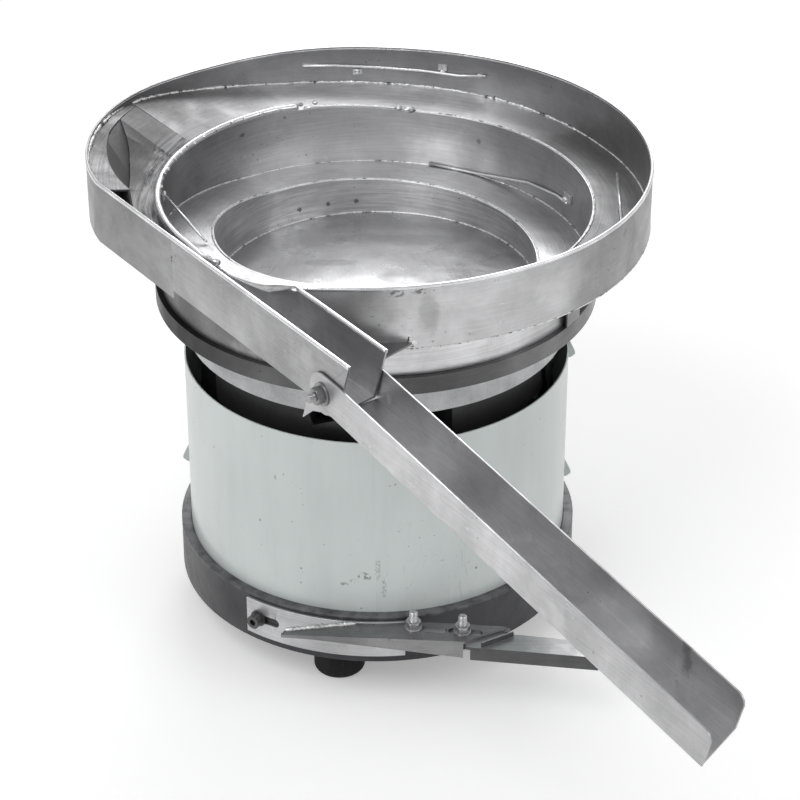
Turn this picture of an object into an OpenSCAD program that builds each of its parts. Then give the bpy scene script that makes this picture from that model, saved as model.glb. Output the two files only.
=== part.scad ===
// Vibratory bowl feeder: spiral bowl on an electromagnetic drive, with a delivery chute.
// Millimetres. Z is up, the origin lies on the bowl's axis at floor level, and the
// chute runs towards the front right.

/* [Bowl] */
// Outside diameter of the bowl's rim
bowl_d = 500; // [480:1:520]
// Height of the bowl from its seat to the rim
bowl_depth = 132; // [132:1:145]
// Height of the bowl's outer wall
outer_wall_h = 60; // [58:1:66]
// Inside diameter of the middle wall
middle_d = 394; // [384:1:400]
// Inside diameter of the well round the floor
well_d = 296; // [280:1:310]
// Thickness of the bowl's sheet steel
sheet = 2; // [1.5:0.1:2.5]
// Rise of the floor's centre over its edge
floor_crown = 6; // [2:1:12]
// How far the seat ring stands out past the middle wall
seat_lip = 5; // [3:0.5:10]
// Height of the seat ring
seat_ring_h = 17; // [12:1:20]
// Diameter of the rolled bead on the middle wall
bead_d = 6; // [4:0.5:8]
// Diameter of the guide wires
wire_d = 2.5; // [2:0.5:3]

/* [Exit trough] */
// Angle of the trough below the X axis
trough_angle = 55.3; // [50:0.1:60]
// How far the trough's outer face lies inside the rim's radius
trough_inset = 16.5; // [12:0.5:20]
// Inside width of the trough at its end
trough_w = 37; // [34:1:40]
// Length of the trough's outer wall past the bowl's tangent point
trough_len = 306; // [300:1:330]
// Depth of the trough's floor below the rim
trough_depth = 50.5; // [46:0.5:52]

/* [Chute] */
// Length of the chute from its pivot to its far end
chute_len = 478; // [300:1:520]
// Height of the chute's walls over its floor
chute_wall_h = 31; // [28:0.5:34]
// Thickness of the chute's sheet
chute_sheet = 1.5; // [1:0.1:2]
// Slope of the chute
chute_slope = 6.7; // [5:0.1:8]
// Gap on each side between the trough and the chute
chute_gap = 1; // [0.6:0.1:2]
// Distance of the pivot past the bowl's tangent point
pivot_s = 271; // [260:1:276]
// Depth of the pivot below the rim
pivot_depth = 40; // [38:0.5:40]
// Diameter of the pivot bolt
pivot_bolt_d = 8; // [6:1:8]

/* [Drive] */
// Height of the drive's top face over the floor
drive_h = 328; // [320:1:340]
// Diameter of the drive's top casting
top_casting_d = 354; // [340:1:370]
// Thickness of the drive's top casting
top_casting_h = 36; // [28:1:40]
// Outside diameter of the cover
cover_d = 360.8; // [356:0.1:366]
// Height of the cover
cover_h = 185; // [175:1:190]
// Thickness of the cover's sheet
cover_t = 1.5; // [1:0.1:2.5]
// How far the base ring stands out past the cover
ring_step = 9.6; // [8:0.1:14]
// Height of the base ring
base_ring_h = 49.5; // [46:0.5:54]
// Thickness of the bottom plate
bottom_plate_h = 6; // [4:1:8]
// Gap between the cast base and the cover
base_casting_gap = 13.9; // [9:0.1:20]
// Height of the cast base
base_casting_h = 58; // [50:1:62]
// Gap between the magnet's core and the armature
magnet_gap = 2.5; // [1.5:0.1:4]

/* [Springs] */
// Distance of the spring packs' middle from the cover's inner face
pack_inset = 33.9; // [31:0.1:40]
// Leaves in each spring pack
leaf_count = 5; // [3:1:5]
// Thickness of one leaf
leaf_t = 3.5; // [2.5:0.5:4]
// Gap between two leaves
leaf_gap = 3; // [2:0.5:3.5]
// Width of a leaf, along the radius
leaf_w = 40; // [34:1:44]
// Length of a leaf
leaf_len = 160; // [150:1:166]
// Lean of the leaves
leaf_lean = 20; // [10:1:22]
// Diameter of the spring bolts
spring_bolt_d = 10; // [8:1:12]

/* [Feet] */
// Diameter of a rubber foot
foot_d = 48; // [40:1:52]
// Height of a rubber foot
foot_h = 36; // [30:1:45]
// Radius on which the feet stand
foot_r = 150; // [130:1:150]

/* [Front bracket] */
// Height of the curved mount plate
mount_plate_h = 38; // [30:1:40]
// Thickness of the bracket's steel
bracket_t = 3; // [2:0.5:4]
// Height of the bracket's top face over the floor
bracket_z = 81; // [78:0.5:82]
// Length of the extension arm from the bracket's corner to its end
arm_len = 120; // [110:1:150]
// Width of the extension arm
arm_w = 24; // [22:1:26]
// Diameter of the bracket's studs
stud_d = 8; // [6:1:8]
// Height of the studs over the bracket
stud_h = 18; // [16:1:24]

/* [Hidden] */
$fn = 96;
// Angular step of the spiral sheets and the outer wall, and of the drop wall, in degrees
STEP = 3;
FINE_STEP = 1.5;
rim_z = drive_h + bowl_depth;
bowl_r = bowl_d / 2;
bowl_in_r = bowl_r - sheet;
trough_face = bowl_r - trough_inset;
middle_r = middle_d / 2;
middle_out_r = middle_r + sheet;
well_r = well_d / 2;
well_out_r = well_r + sheet;
seat_ring_d = 2 * (middle_out_r + seat_lip);
base_ring_d = cover_d + 2 * ring_step;
cover_in_r = cover_d / 2 - cover_t;
base_casting_d = 2 * (cover_in_r - base_casting_gap);
pack_r = cover_in_r - pack_inset;
seat_z = -bowl_depth;
// Clearance between pieces that move on each other
run_gap = 0.3;

// Depth below the rim, by angle, of the lower track's outer edge
LOWER_DEPTH = [[-90, 128], [0, 107], [130, 94], [180, 75], [215, 68], [250, 60], [270, 60]];
// Depth below the rim, by angle, of the upper track's outer edge
UPPER_DEPTH = [[-90, 60], [10, 50], [30, 49], [60, 42], [90, 38], [100, 37], [111, 34], [121, 28],
    [133, 19.5], [143, 12], [150, 8], [158, 5], [170, 4.5], [194, 9]];
// Depth below the rim, by angle, of the middle wall's top edge
MIDDLE_DEPTH = [[-90, 60], [-50, 44], [80, 44], [111, 37], [120, 35], [215, 35]];
// Depth below the rim, by angle, of the end track's inner edge
END_IN_DEPTH = [[150, 10.2], [158, 8], [165, 8], [180, 9], [192, 11]];
// Depth below the rim, by angle, of the return pan beside the middle wall
PAN_IN_DEPTH = [[150, 35], [162, 39], [175, 44], [195, 49], [210, trough_depth]];
// Depth below the rim, by angle, of the foot of the drop wall
PAN_OUT_DEPTH = [[150, 10.2], [157.5, 9], [158.5, 20], [161, 30], [165, 36], [169, 42], [172.5, 44],
    [180, 46], [195, 49], [210, trough_depth]];
// How far, by angle, the outer wall bulges out past the bowl's radius
BULGE = [[-110, 9], [-104, 9], [-100, 6.8], [-96, 4.6], [-91, 2.8], [-84, 1.8], [-74, 1], [-66, 0],
    [80, 0], [88, 1], [96, 4], [104, 6.5], [112, 7.8], [120, 8.4], [128, 9.6], [136, 13], [142, 16.6],
    [148, 19.4], [154, 20], [160, 19.4], [166, 18], [172, 16], [178, 13.2], [184, 9.6],
    [188, 6.5], [192, 2.9]];
// How far, by angle, the end track's inner edge and the drop wall's foot lie past the bowl's radius
END_EDGE = [[150, 13], [157, 10], [164, 7], [171, 0], [179, -8.5], [187, -19], [192, -27]];
DROP_FOOT = [[150, 13], [157.5, 9.5], [158.5, 2], [161, -6], [165, -13], [169, -18], [172.5, -21],
    [180, -25], [188, -29], [192, -31]];
// Depth below the rim, by distance along the trough, of its inner wall's top edge
LIP_DEPTH = [[0, 35], [23, 38], [48, 33], [70, 32], [88, 29], [105, 25], [122, 19.6], [137, 13],
    [149, 8], [158, 5], [169, 0]];
// How much the lower track's inner edge stands over its outer edge
track_tilt = 3;
// Angles at which the tracks and the pan change over
upper_start = -90;
pan_start = 150;
pan_wide = 175;
drop_start = 157.5;
corner_bulge = lookup(-104, BULGE);
bulge_end = 192;
end_track_end = 192;
tangent_angle = 270 - trough_angle;

function lower_z(a) = -lookup(a, LOWER_DEPTH);
function upper_z(a) = -lookup(a, UPPER_DEPTH);
function middle_z(a) = -lookup(a, MIDDLE_DEPTH);
function end_in_z(a) = -lookup(a, END_IN_DEPTH);
function pan_in_z(a) = -lookup(a, PAN_IN_DEPTH);
function pan_out_z(a) = -lookup(a, PAN_OUT_DEPTH);
function lip_z(s) = -lookup(s, LIP_DEPTH);
// Height of the return pan where it runs out to the outer wall
function pan_z(a, r) = let (in_r = clear_r(middle_out_r))
    pan_in_z(a) + (pan_out_z(a) - pan_in_z(a)) * (r - in_r) / (outer_face_r(a) - in_r);

// Trough: s runs along it from the tangent point, w points at the bowl's axis
inner_face = -(trough_face - sheet - trough_w);
straight_s = 200;
inner_slope = (middle_out_r + inner_face) / straight_s;
inner_len = trough_len - 6;
floor_end = trough_len - 20;
seam_s = 33;

// Radius, by angle, at which a ray from the axis meets the outer wall's inner face
function outer_face_r(a) = a <= bulge_end ? bowl_in_r + lookup(a, BULGE)
    : -(trough_face - sheet) / sin(a + trough_angle);
// Radius, by angle, of the end track's inner edge and of the drop wall's foot
function end_edge_r(a) = max(bowl_r + lookup(a, END_EDGE), middle_out_r + 3);
function drop_foot_r(a) = max(bowl_r + lookup(a, DROP_FOOT), middle_out_r + 3);
// Radius, by angle, at which a ray meets the trough's inner wall on the bowl's side
function inner_face_r(a) =
    let (dir = a + trough_angle) middle_r / (inner_slope * cos(dir) - sin(dir));
// Distance along the trough at which its inner wall meets a circle about the axis
function corner_on(r) = (inner_slope * middle_r + sqrt(pow(inner_slope * middle_r, 2)
    - (1 + pow(inner_slope, 2)) * (pow(middle_r, 2) - pow(r, 2)))) / (1 + pow(inner_slope, 2));
corner_s = corner_on(bowl_in_r + corner_bulge);
// Angle at which the trough's inner wall meets the outer wall
corner_angle = atan2(inner_slope * corner_s - middle_r, corner_s) - trough_angle + 360;

// A stack of rings joined into one closed solid
module loft(rings) {
    m = len(rings[0]);
    n = len(rings);
    sides = [for (k = [0:n - 2], i = [0:m - 1])
        let (a = k * m + i, b = k * m + (i + 1) % m)
        each [[a, b, b + m], [a, b + m, a + m]]];
    caps = [[for (i = [m - 1:-1:0]) i], [for (i = [0:m - 1]) (n - 1) * m + i]];
    polyhedron([for (r = rings) each r], concat(caps, sides));
}

// Angles from one limit to the other, with the round multiples of the step between
function angles(from, to, step = STEP) = concat(
    [from], [for (k = [ceil(from / step + 0.01):floor(to / step - 0.01)]) k * step], [to]);
function at_angle(r, a, z) = [r * cos(a), r * sin(a), z];
// Section of a sheet at one angle: inner and outer radius, and the height of each edge
function sheet_ring(a, r0, r1, z0, z1, t) = [
    at_angle(r0, a, z0 - t), at_angle(r1, a, z1 - t), at_angle(r1, a, z1), at_angle(r0, a, z0)];
// Radius that keeps a chord's middle outside a round wall
function clear_r(r) = r / cos(STEP / 2);

// A wire of eight flats along a list of points
module wire(points, d) {
    r = d / 2 / cos(22.5);
    last = len(points) - 1;
    loft([for (k = [0:last])
        let (step = points[min(k + 1, last)] - points[max(k - 1, 0)],
            heading = atan2(step[1], step[0]))
        [for (i = [0:7]) let (turn = 22.5 + 45 * i)
            points[k] + [r * cos(turn) * sin(heading), -r * cos(turn) * cos(heading), r * sin(turn)]]]);
}

module at_rim() translate([0, 0, rim_z]) children();
module at_trough() at_rim() rotate([0, 0, -trough_angle]) children();
// A flat plate standing along the trough, from its outline in length and height
module upright(outline, w, t) translate([0, w + t, 0]) rotate([90, 0, 0]) linear_extrude(t) polygon(outline);
module tube(r0, r1, h) difference() {
    cylinder(r = r1, h = h);
    translate([0, 0, -1]) cylinder(r = r0, h = h + 2);
}
module hexagon(width, h) cylinder(d = width / cos(30), h = h, $fn = 6);

// Cuts away what stands over a spiral edge between two radii
module above_edge(from, to, r0, r1, edge) {
    loft([for (a = angles(from, to)) [
        at_angle(r0 - 4, a, edge(a)), at_angle(r1 + 4, a, edge(a)),
        at_angle(r1 + 4, a, 20), at_angle(r0 - 4, a, 20)]]);
}

module bowl_floor() color("silver") at_rim() translate([0, 0, seat_z])
    rotate_extrude() polygon([
        [0, floor_crown], [well_r, 0], [well_r, sheet], [0, floor_crown + sheet]]);

module inner_wall() color("silver") at_rim() difference() {
    translate([0, 0, seat_z]) tube(well_r, well_out_r, bowl_depth);
    for (from = [-90, 90])
        above_edge(from, from + 180, well_r, well_out_r, function (a) lower_z(a) + track_tilt);
}

module lower_track() color("silver") at_rim() {
    edge_r = function (a) a <= tangent_angle ? middle_r
        : a <= corner_angle ? inner_face_r(a) : outer_face_r(a - 360) + sheet - 0.5;
    loft([for (a = concat(angles(-90, tangent_angle), angles(tangent_angle + 0.1, corner_angle),
            angles(corner_angle + 0.1, 270)))
        sheet_ring(a, clear_r(well_out_r), edge_r(a), lower_z(a) + track_tilt, lower_z(a), sheet)]);
}

module track_riser() color("gray") at_rim()
    translate([-sheet, -middle_r + 0.1, -bowl_depth + sheet])
        cube([sheet, middle_r - well_out_r - 0.3, bowl_depth + lower_z(270) - 2 * sheet]);

module middle_wall() color("silver") at_rim() difference() {
    translate([0, 0, seat_z + seat_ring_h]) tube(middle_r, middle_out_r, bowl_depth);
    above_edge(-90, 90, middle_r, middle_out_r, function (a) middle_z(a));
    above_edge(90, tangent_angle, middle_r, middle_out_r, function (a) middle_z(a));
    above_edge(tangent_angle, 270, middle_r, middle_out_r, function (a) lower_z(a) - sheet);
}

module upper_track() color("silver") at_rim()
    loft([for (a = angles(upper_start, pan_start))
        sheet_ring(a, clear_r(middle_out_r), outer_face_r(a), middle_z(a), upper_z(a), sheet)]);

module end_track() color("silver") at_rim()
    loft([for (a = angles(pan_start, end_track_end))
        sheet_ring(a, end_edge_r(a), outer_face_r(a), end_in_z(a), upper_z(a), sheet)]);

// Sloping wall from the end track's inner edge down to the pan
module drop_wall() color("gray") at_rim()
    loft([for (a = concat(angles(drop_start, pan_wide, FINE_STEP),
            angles(pan_wide + 0.1, end_track_end, FINE_STEP)))
        let (foot_z = a <= pan_wide ? pan_out_z(a) - sheet : pan_z(a, drop_foot_r(a)) + 0.05,
            top_z = end_in_z(a) - sheet)
        [at_angle(drop_foot_r(a), a, foot_z), at_angle(drop_foot_r(a) + sheet, a, foot_z),
            at_angle(end_edge_r(a) + sheet, a, top_z), at_angle(end_edge_r(a), a, top_z)]]);

module return_pan() color("silver") at_rim()
    loft([for (a = concat(angles(pan_start, pan_wide, FINE_STEP),
            angles(pan_wide + 0.1, end_track_end, FINE_STEP), angles(end_track_end + STEP, tangent_angle)))
        sheet_ring(a, clear_r(middle_out_r), a <= pan_wide ? drop_foot_r(a) : outer_face_r(a),
            pan_in_z(a), pan_out_z(a), sheet)]);

// Plan of the outer wall, in the trough's directions: round the bowl, then straight to the seam
function wall_start(r) = let (s = corner_on(r + corner_bulge))
    atan2(inner_slope * s - middle_r, s) - trough_angle;
function wall_line(r, face) = concat([for (a = angles(wall_start(r), bulge_end))
    (r + lookup(a, BULGE)) * [cos(a + trough_angle), sin(a + trough_angle)]], [[seam_s, -face]]);
function backwards(points) = [for (k = [len(points) - 1:-1:0]) points[k]];
module outer_wall_plan() polygon(concat(wall_line(bowl_r, trough_face),
    backwards(wall_line(clear_r(bowl_in_r), trough_face - sheet))));
module outer_wall() color("silver") at_trough() translate([0, 0, -outer_wall_h])
    linear_extrude(outer_wall_h) outer_wall_plan();

module wall_bead() color("whitesmoke") at_rim() {
    mid_r = middle_r + sheet / 2;
    on_wall = [for (a = angles(113, tangent_angle)) at_angle(mid_r, a, middle_z(a) + bead_d / 2)];
    on_trough = [for (s = [12, 23, 36, 48])
        let (w = inner_slope * s - mid_r)
        [s * cos(trough_angle) + w * sin(trough_angle),
            w * cos(trough_angle) - s * sin(trough_angle), lip_z(s) + bead_d / 2]];
    wire(concat(on_wall, on_trough), bead_d);
}

// Inner wall of the trough: its plan, cut to the profile of its edges
trough_under_z = -trough_depth - sheet;
module trough_inner_wall() intersection() {
    translate([0, 0, -80]) linear_extrude(80) polygon([
        [0, -middle_out_r], [straight_s, inner_face], [inner_len, inner_face],
        [inner_len, inner_face + sheet], [straight_s, inner_face + sheet], [0, -middle_r]]);
    upright(concat([for (p = LIP_DEPTH) [p[0], -p[1]]],
        [[inner_len, 0], [floor_end - 4, trough_under_z], [corner_s + 1, trough_under_z],
        [corner_s + 1, lower_z(corner_angle) - sheet]],
        backwards([for (a = angles(tangent_angle, corner_angle))
            [inner_face_r(a) * cos(a + trough_angle), lower_z(a) - sheet + 0.1]])),
        -middle_out_r - 2, 12);
}
module exit_trough() color("gainsboro") at_trough() {
    difference() {
        union() {
            upright([[seam_s, trough_under_z], [floor_end + 2, trough_under_z],
                [trough_len - 9, -trough_depth / 2], [trough_len, 0], [seam_s, 0]], -trough_face, sheet);
            trough_inner_wall();
            translate([0, 0, trough_under_z]) linear_extrude(sheet) polygon([
                [0, -trough_face + sheet], [seam_s, -trough_face + sheet], [seam_s, -trough_face],
                [floor_end + 2, -trough_face], [floor_end - 4, inner_face + sheet],
                [straight_s, inner_face + sheet], [0, -middle_r]]);
        }
        translate([pivot_s, -trough_face - 1, -pivot_depth]) rotate([-90, 0, 0])
            cylinder(d = pivot_bolt_d, h = sheet + 2);
    }
}

// Three-cornered plate in the corner between the trough and the bowl's outer wall
gusset_s = 243;
gusset_dir = -27.14;
gusset_tip = (bowl_r + lookup(gusset_dir - trough_angle, BULGE) + 1) * [cos(gusset_dir), sin(gusset_dir)];
module trough_gusset() color("silver") at_trough() translate([0, 0, trough_under_z - sheet]) difference() {
    linear_extrude(sheet) polygon([
        [corner_s - 20, inner_face - 1], [gusset_s, inner_face - 1], gusset_tip,
        gusset_tip * 0.9, [corner_s - 20, inner_face + 20]]);
    translate([0, 0, -1]) linear_extrude(sheet + 2) polygon(wall_line(bowl_r, trough_face));
    translate([0, 0, -1]) linear_extrude(sheet + 2) polygon([
        [corner_s - 30, -middle_out_r - 9], [corner_s + 1, -middle_out_r - 9],
        [corner_s + 1, inner_slope * (corner_s + 1) - middle_r],
        [corner_s - 30, inner_slope * (corner_s - 30) - middle_r]]);
}

// Guide wires and rods that steer the parts on the tracks
module outer_guide_wire() color("whitesmoke") at_rim()
    wire([for (p = [[107, 16.5], [100, 18.5], [90, 20.4], [80, 21.6], [71, 23], [64.6, 19]])
        at_angle(outer_face_r(p[0]) - wire_d / 2 - 0.4, p[0], -p[1])], wire_d);
module middle_guide_wire() color("whitesmoke") at_rim()
    wire([for (a = angles(81, 111)) at_angle(middle_r + sheet / 2, a, middle_z(a) + wire_d / 2)], wire_d);
module inner_guide_rail() color("silver") at_rim()
    wire([for (p = [[75, 97.5], [67, 99], [58.7, 98.6], [50, 95], [42, 90], [29, 86], [23, 85.6]])
        at_angle(middle_r - wire_d / 2 - 0.3, p[0], -p[1])], wire_d);
module track_rod() color("silver") at_rim()
    wire([for (p = [[24, 58, 45.4], [25.5, 8, 45.6], [27, -41, 46]])
        [bowl_in_r - p[0], p[1], -p[2]]], wire_d);
module cross_rod() color("gray") at_rim()
    wire([for (p = [[4, 16, 48], [24, -11, 58], [44, -38, 67]]) [p[0] - middle_r, p[1], -p[2]]], wire_d);

// Small welded clips that hold the wires
module clip(a, r, z, size) at_rim() rotate([0, 0, a]) translate([r - size[0], -size[1] / 2, z]) cube(size);
module wire_clips() color("gainsboro") {
    clip(94.6, outer_face_r(94.6) - 0.7, -28.5, [1.5, 9, 6]);
    clip(75, outer_face_r(75) - 0.1, -20, [1.5, 9, 6]);
    clip(23, middle_r - 0.3, -84, [2, 14, 9]);
    clip(175, middle_r - 0.3, -52, [2, 10, 7]);
}

// Ring under the bowl: a flat flange with an upright rim that carries the middle wall
module seat_ring() color([0.33, 0.33, 0.34]) translate([0, 0, drive_h]) {
    tube(well_out_r + 0.05, seat_ring_d / 2, sheet);
    translate([0, 0, sheet]) tube(middle_r, seat_ring_d / 2, seat_ring_h - sheet);
}
tab_angles = [-30, 150];
tab_w = 24;
tab_h = 34;
module hold_down_tabs() color("silver") at_rim() for (a = tab_angles)
    rotate([0, 0, a]) translate([0, -tab_w / 2, seat_z + seat_ring_h]) {
        translate([seat_ring_d / 2 - sheet, 0, 0]) cube([sheet, tab_w, tab_h]);
        translate([middle_out_r + 0.05, 0, tab_h - sheet]) cube([seat_lip - sheet, tab_w, sheet]);
    }

top_casting_z = drive_h - top_casting_h;
base_z = foot_h + bottom_plate_h;
base_top_z = base_z + base_casting_h;
boss_d = 70;
armature_h = 20;
core_size = [90, 60, 60];
core_z = base_top_z + 30;
armature_z = core_z + core_size[2] + magnet_gap;
module top_casting() color([0.7, 0.71, 0.72]) {
    translate([0, 0, top_casting_z]) difference() {
        cylinder(d = top_casting_d, h = top_casting_h);
        translate([0, 0, top_casting_h - 6]) cylinder(r = well_r - 40, h = 7);
    }
    translate([0, 0, armature_z + armature_h])
        cylinder(d = boss_d, h = top_casting_z - armature_z - armature_h + 1);
}
module armature() color([0.3, 0.3, 0.31]) translate([0, 0, armature_z + armature_h / 2])
    cube([core_size[0], core_size[1], armature_h], center = true);

// Laminated core with three legs, and the coil round its middle leg
leg_w = 15;
slot_depth = 44;
module magnet_core() color([0.35, 0.35, 0.37]) translate([0, 0, core_z]) difference() {
    translate([0, 0, core_size[2] / 2]) cube(core_size, center = true);
    for (side = [-1, 1])
        translate([side * 1.5 * leg_w, 0, core_size[2]])
            cube([leg_w, core_size[1] + 2, 2 * slot_depth], center = true);
}
module magnet_coil() color([0.55, 0.3, 0.12])
    translate([0, 0, core_z + core_size[2] - slot_depth + 0.2]) linear_extrude(slot_depth - 4) difference() {
        square([4 * leg_w - 1, core_size[1] + 2 * leg_w - 1], center = true);
        square([2 * leg_w + 1, core_size[1] + 1], center = true);
    }

// Spring packs stand at equal angles, each leaning along the circle
pack_angles = [for (k = [0:3]) 257 + 90 * k];
pack_top_z = 258;
stack_t = leaf_count * leaf_t + (leaf_count - 1) * leaf_gap;
clamp_h = 36;
clamp_t = 8;
lower_bolt_z = -(leaf_len - clamp_h);
block_h = 45;
block_in_r = pack_r - 33;
block_out_r = pack_r + 17;
module at_pack(k) rotate([0, 0, pack_angles[k]]) translate([pack_r, 0, pack_top_z])
    rotate([leaf_lean, 0, 0]) children();
// Bolt positions of a clamp, across the leaf's width
module clamp_bolts(z) for (x = [-leaf_w / 4, leaf_w / 4]) translate([x, 0, z]) rotate([90, 0, 0]) children();
module spring_pack(k) color([0.22, 0.22, 0.24]) at_pack(k) difference() {
    union() {
        for (i = [0:leaf_count - 1])
            translate([-leaf_w / 2, i * (leaf_t + leaf_gap) - stack_t / 2, clamp_h / 2 - leaf_len])
                cube([leaf_w, leaf_t, leaf_len]);
        for (z = [-clamp_h / 2, lower_bolt_z - clamp_h / 2])
            translate([-leaf_w / 2, -stack_t / 2, z]) cube([leaf_w, stack_t, clamp_h]);
    }
    for (z = [0, lower_bolt_z])
        clamp_bolts(z) cylinder(d = spring_bolt_d + 2 * run_gap, h = 2 * stack_t, center = true);
}
// Cast block beside a pack: a round sector from which the pack's leaning side is cut
module sector(from, sweep, z) rotate([0, 0, from]) translate([0, 0, z])
    rotate_extrude(angle = sweep) translate([block_in_r, 0]) square([block_out_r - block_in_r, block_h]);
module upper_block(k) color([0.16, 0.16, 0.17]) difference() {
    sector(pack_angles[k] - 52, 62, top_casting_z - block_h);
    at_pack(k) translate([-60, -stack_t / 2, -100]) cube([120, 120, 200]);
    at_pack(k) clamp_bolts(0) cylinder(d = spring_bolt_d, h = 2 * (stack_t / 2 + 26), center = true);
}
module lower_block(k) color([0.16, 0.16, 0.17]) difference() {
    sector(pack_angles[k] + 2, 60, base_top_z);
    at_pack(k) translate([-60, stack_t / 2 - 120, -260]) cube([120, 120, 260]);
    at_pack(k) clamp_bolts(lower_bolt_z)
        cylinder(d = spring_bolt_d, h = 2 * (stack_t / 2 + 26), center = true);
}
module clamp_plate(y, z) translate([0, y, z]) difference() {
    translate([-leaf_w / 2, 0, -clamp_h / 2]) cube([leaf_w, clamp_t, clamp_h]);
    clamp_bolts(0) cylinder(d = spring_bolt_d, h = 3 * clamp_t, center = true);
}
module upper_clamp_plates() color([0.2, 0.2, 0.21]) for (k = [0:3])
    at_pack(k) clamp_plate(stack_t / 2, 0);
module lower_clamp_plates() color([0.2, 0.2, 0.21]) for (k = [0:3])
    at_pack(k) clamp_plate(-stack_t / 2 - clamp_t, lower_bolt_z);
module spring_bolt() {
    cylinder(d = spring_bolt_d, h = clamp_t + stack_t + 24);
    translate([0, 0, -7]) hexagon(1.6 * spring_bolt_d, 7);
}
module upper_spring_bolts() color("dimgray") for (k = [0:3]) at_pack(k) clamp_bolts(0)
    translate([0, 0, -stack_t / 2 - clamp_t]) spring_bolt();
module lower_spring_bolts() color("dimgray") for (k = [0:3]) at_pack(k) clamp_bolts(lower_bolt_z)
    mirror([0, 0, 1]) translate([0, 0, -stack_t / 2 - clamp_t]) spring_bolt();

// Feet: rubber, round at the bottom edge, each held by a screw from below
foot_angles = [16.6, 136.6, 256.6];
foot_screw_d = 10;
foot_recess = 8;
module at_feet() for (a = foot_angles) rotate([0, 0, a]) translate([foot_r, 0, 0]) children();
module foot() difference() {
    rotate_extrude() {
        translate([0, 6]) square([foot_d / 2, foot_h - 6]);
        square([foot_d / 2 - 6, 7]);
        translate([foot_d / 2 - 6, 6]) circle(6);
    }
    translate([0, 0, -1]) cylinder(d = 2 * foot_screw_d, h = foot_recess + 1);
    cylinder(d = foot_screw_d, h = foot_h + 1);
}
module rubber_feet() color([0.12, 0.12, 0.12]) at_feet() foot();
module foot_screws() color("dimgray") at_feet() translate([0, 0, foot_recess]) {
    cylinder(d = foot_screw_d, h = foot_h + bottom_plate_h + 12 - foot_recess);
    translate([0, 0, -5]) hexagon(16, 5);
}
module screw_holes(z, h) at_feet() translate([0, 0, z]) cylinder(d = foot_screw_d, h = h);

base_ring_in_r = cover_d / 2 - 6.4;
rebate = 5;
module bottom_plate() color([0.25, 0.25, 0.26]) difference() {
    translate([0, 0, foot_h]) cylinder(r = base_ring_in_r - 0.05, h = bottom_plate_h);
    screw_holes(foot_h - 1, bottom_plate_h + 2);
}
module base_casting() color([0.3, 0.31, 0.32]) difference() {
    union() {
        translate([0, 0, base_z]) cylinder(d = base_casting_d, h = base_casting_h);
        translate([0, 0, base_top_z]) cylinder(d = 140, h = core_z - base_top_z);
    }
    screw_holes(base_z - 1, 13);
}
gland_z = 60;
gland_d = 16;
slot_bolt_angle = 235.7;
slot_bolt_z = 64;
slot_bolt_d = 8;
module base_ring() color([0.29, 0.29, 0.3]) difference() {
    translate([0, 0, foot_h]) tube(base_ring_in_r, base_ring_d / 2, base_ring_h);
    translate([0, 0, foot_h + base_ring_h - rebate]) cylinder(d = cover_d + 0.2, h = rebate + 1);
    rotate([0, 0, 90]) translate([base_ring_in_r - 4, 0, gland_z]) rotate([0, 90, 0])
        cylinder(d = gland_d, h = 40);
    rotate([0, 0, slot_bolt_angle]) translate([base_ring_in_r - 4, 0, slot_bolt_z])
        rotate([0, 90, 0]) cylinder(d = slot_bolt_d, h = 40);
}
module cable_gland() color([0.1, 0.1, 0.1]) rotate([0, 0, 90])
    translate([base_ring_in_r - 4, 0, gland_z]) rotate([0, 90, 0]) difference() {
        wall = base_ring_d / 2 - base_ring_in_r + 4;
        union() {
            cylinder(d = gland_d, h = wall + 1);
            translate([0, 0, wall]) hexagon(24, 6);
            translate([0, 0, wall + 6]) cylinder(d = 20, h = 10);
            translate([0, 0, wall + 16]) cylinder(d1 = 20, d2 = 14, h = 4);
        }
        translate([0, 0, -1]) cylinder(d = 8, h = wall + 30);
    }
cover_z = foot_h + base_ring_h - rebate;
module cover() color([0.8, 0.83, 0.81]) translate([0, 0, cover_z])
    tube(cover_in_r, cover_d / 2, cover_h);
// Small ears where the ends of the cover's sheet are drawn together
ear_places = [[0, cover_z + cover_h - 6], [0, cover_z + 47], [180, cover_z + 64]];
module cover_ears() color([0.72, 0.76, 0.75]) for (place = ear_places)
    rotate([0, 0, place[0]]) translate([cover_d / 2, 1.5, place[1]]) rotate([90, 0, 0])
        linear_extrude(3) {
            polygon([[0, -8], [3, -7], [6, -4], [6, -1], [0, 12]]);
            translate([4, -3]) circle(2.4);
        }

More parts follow.
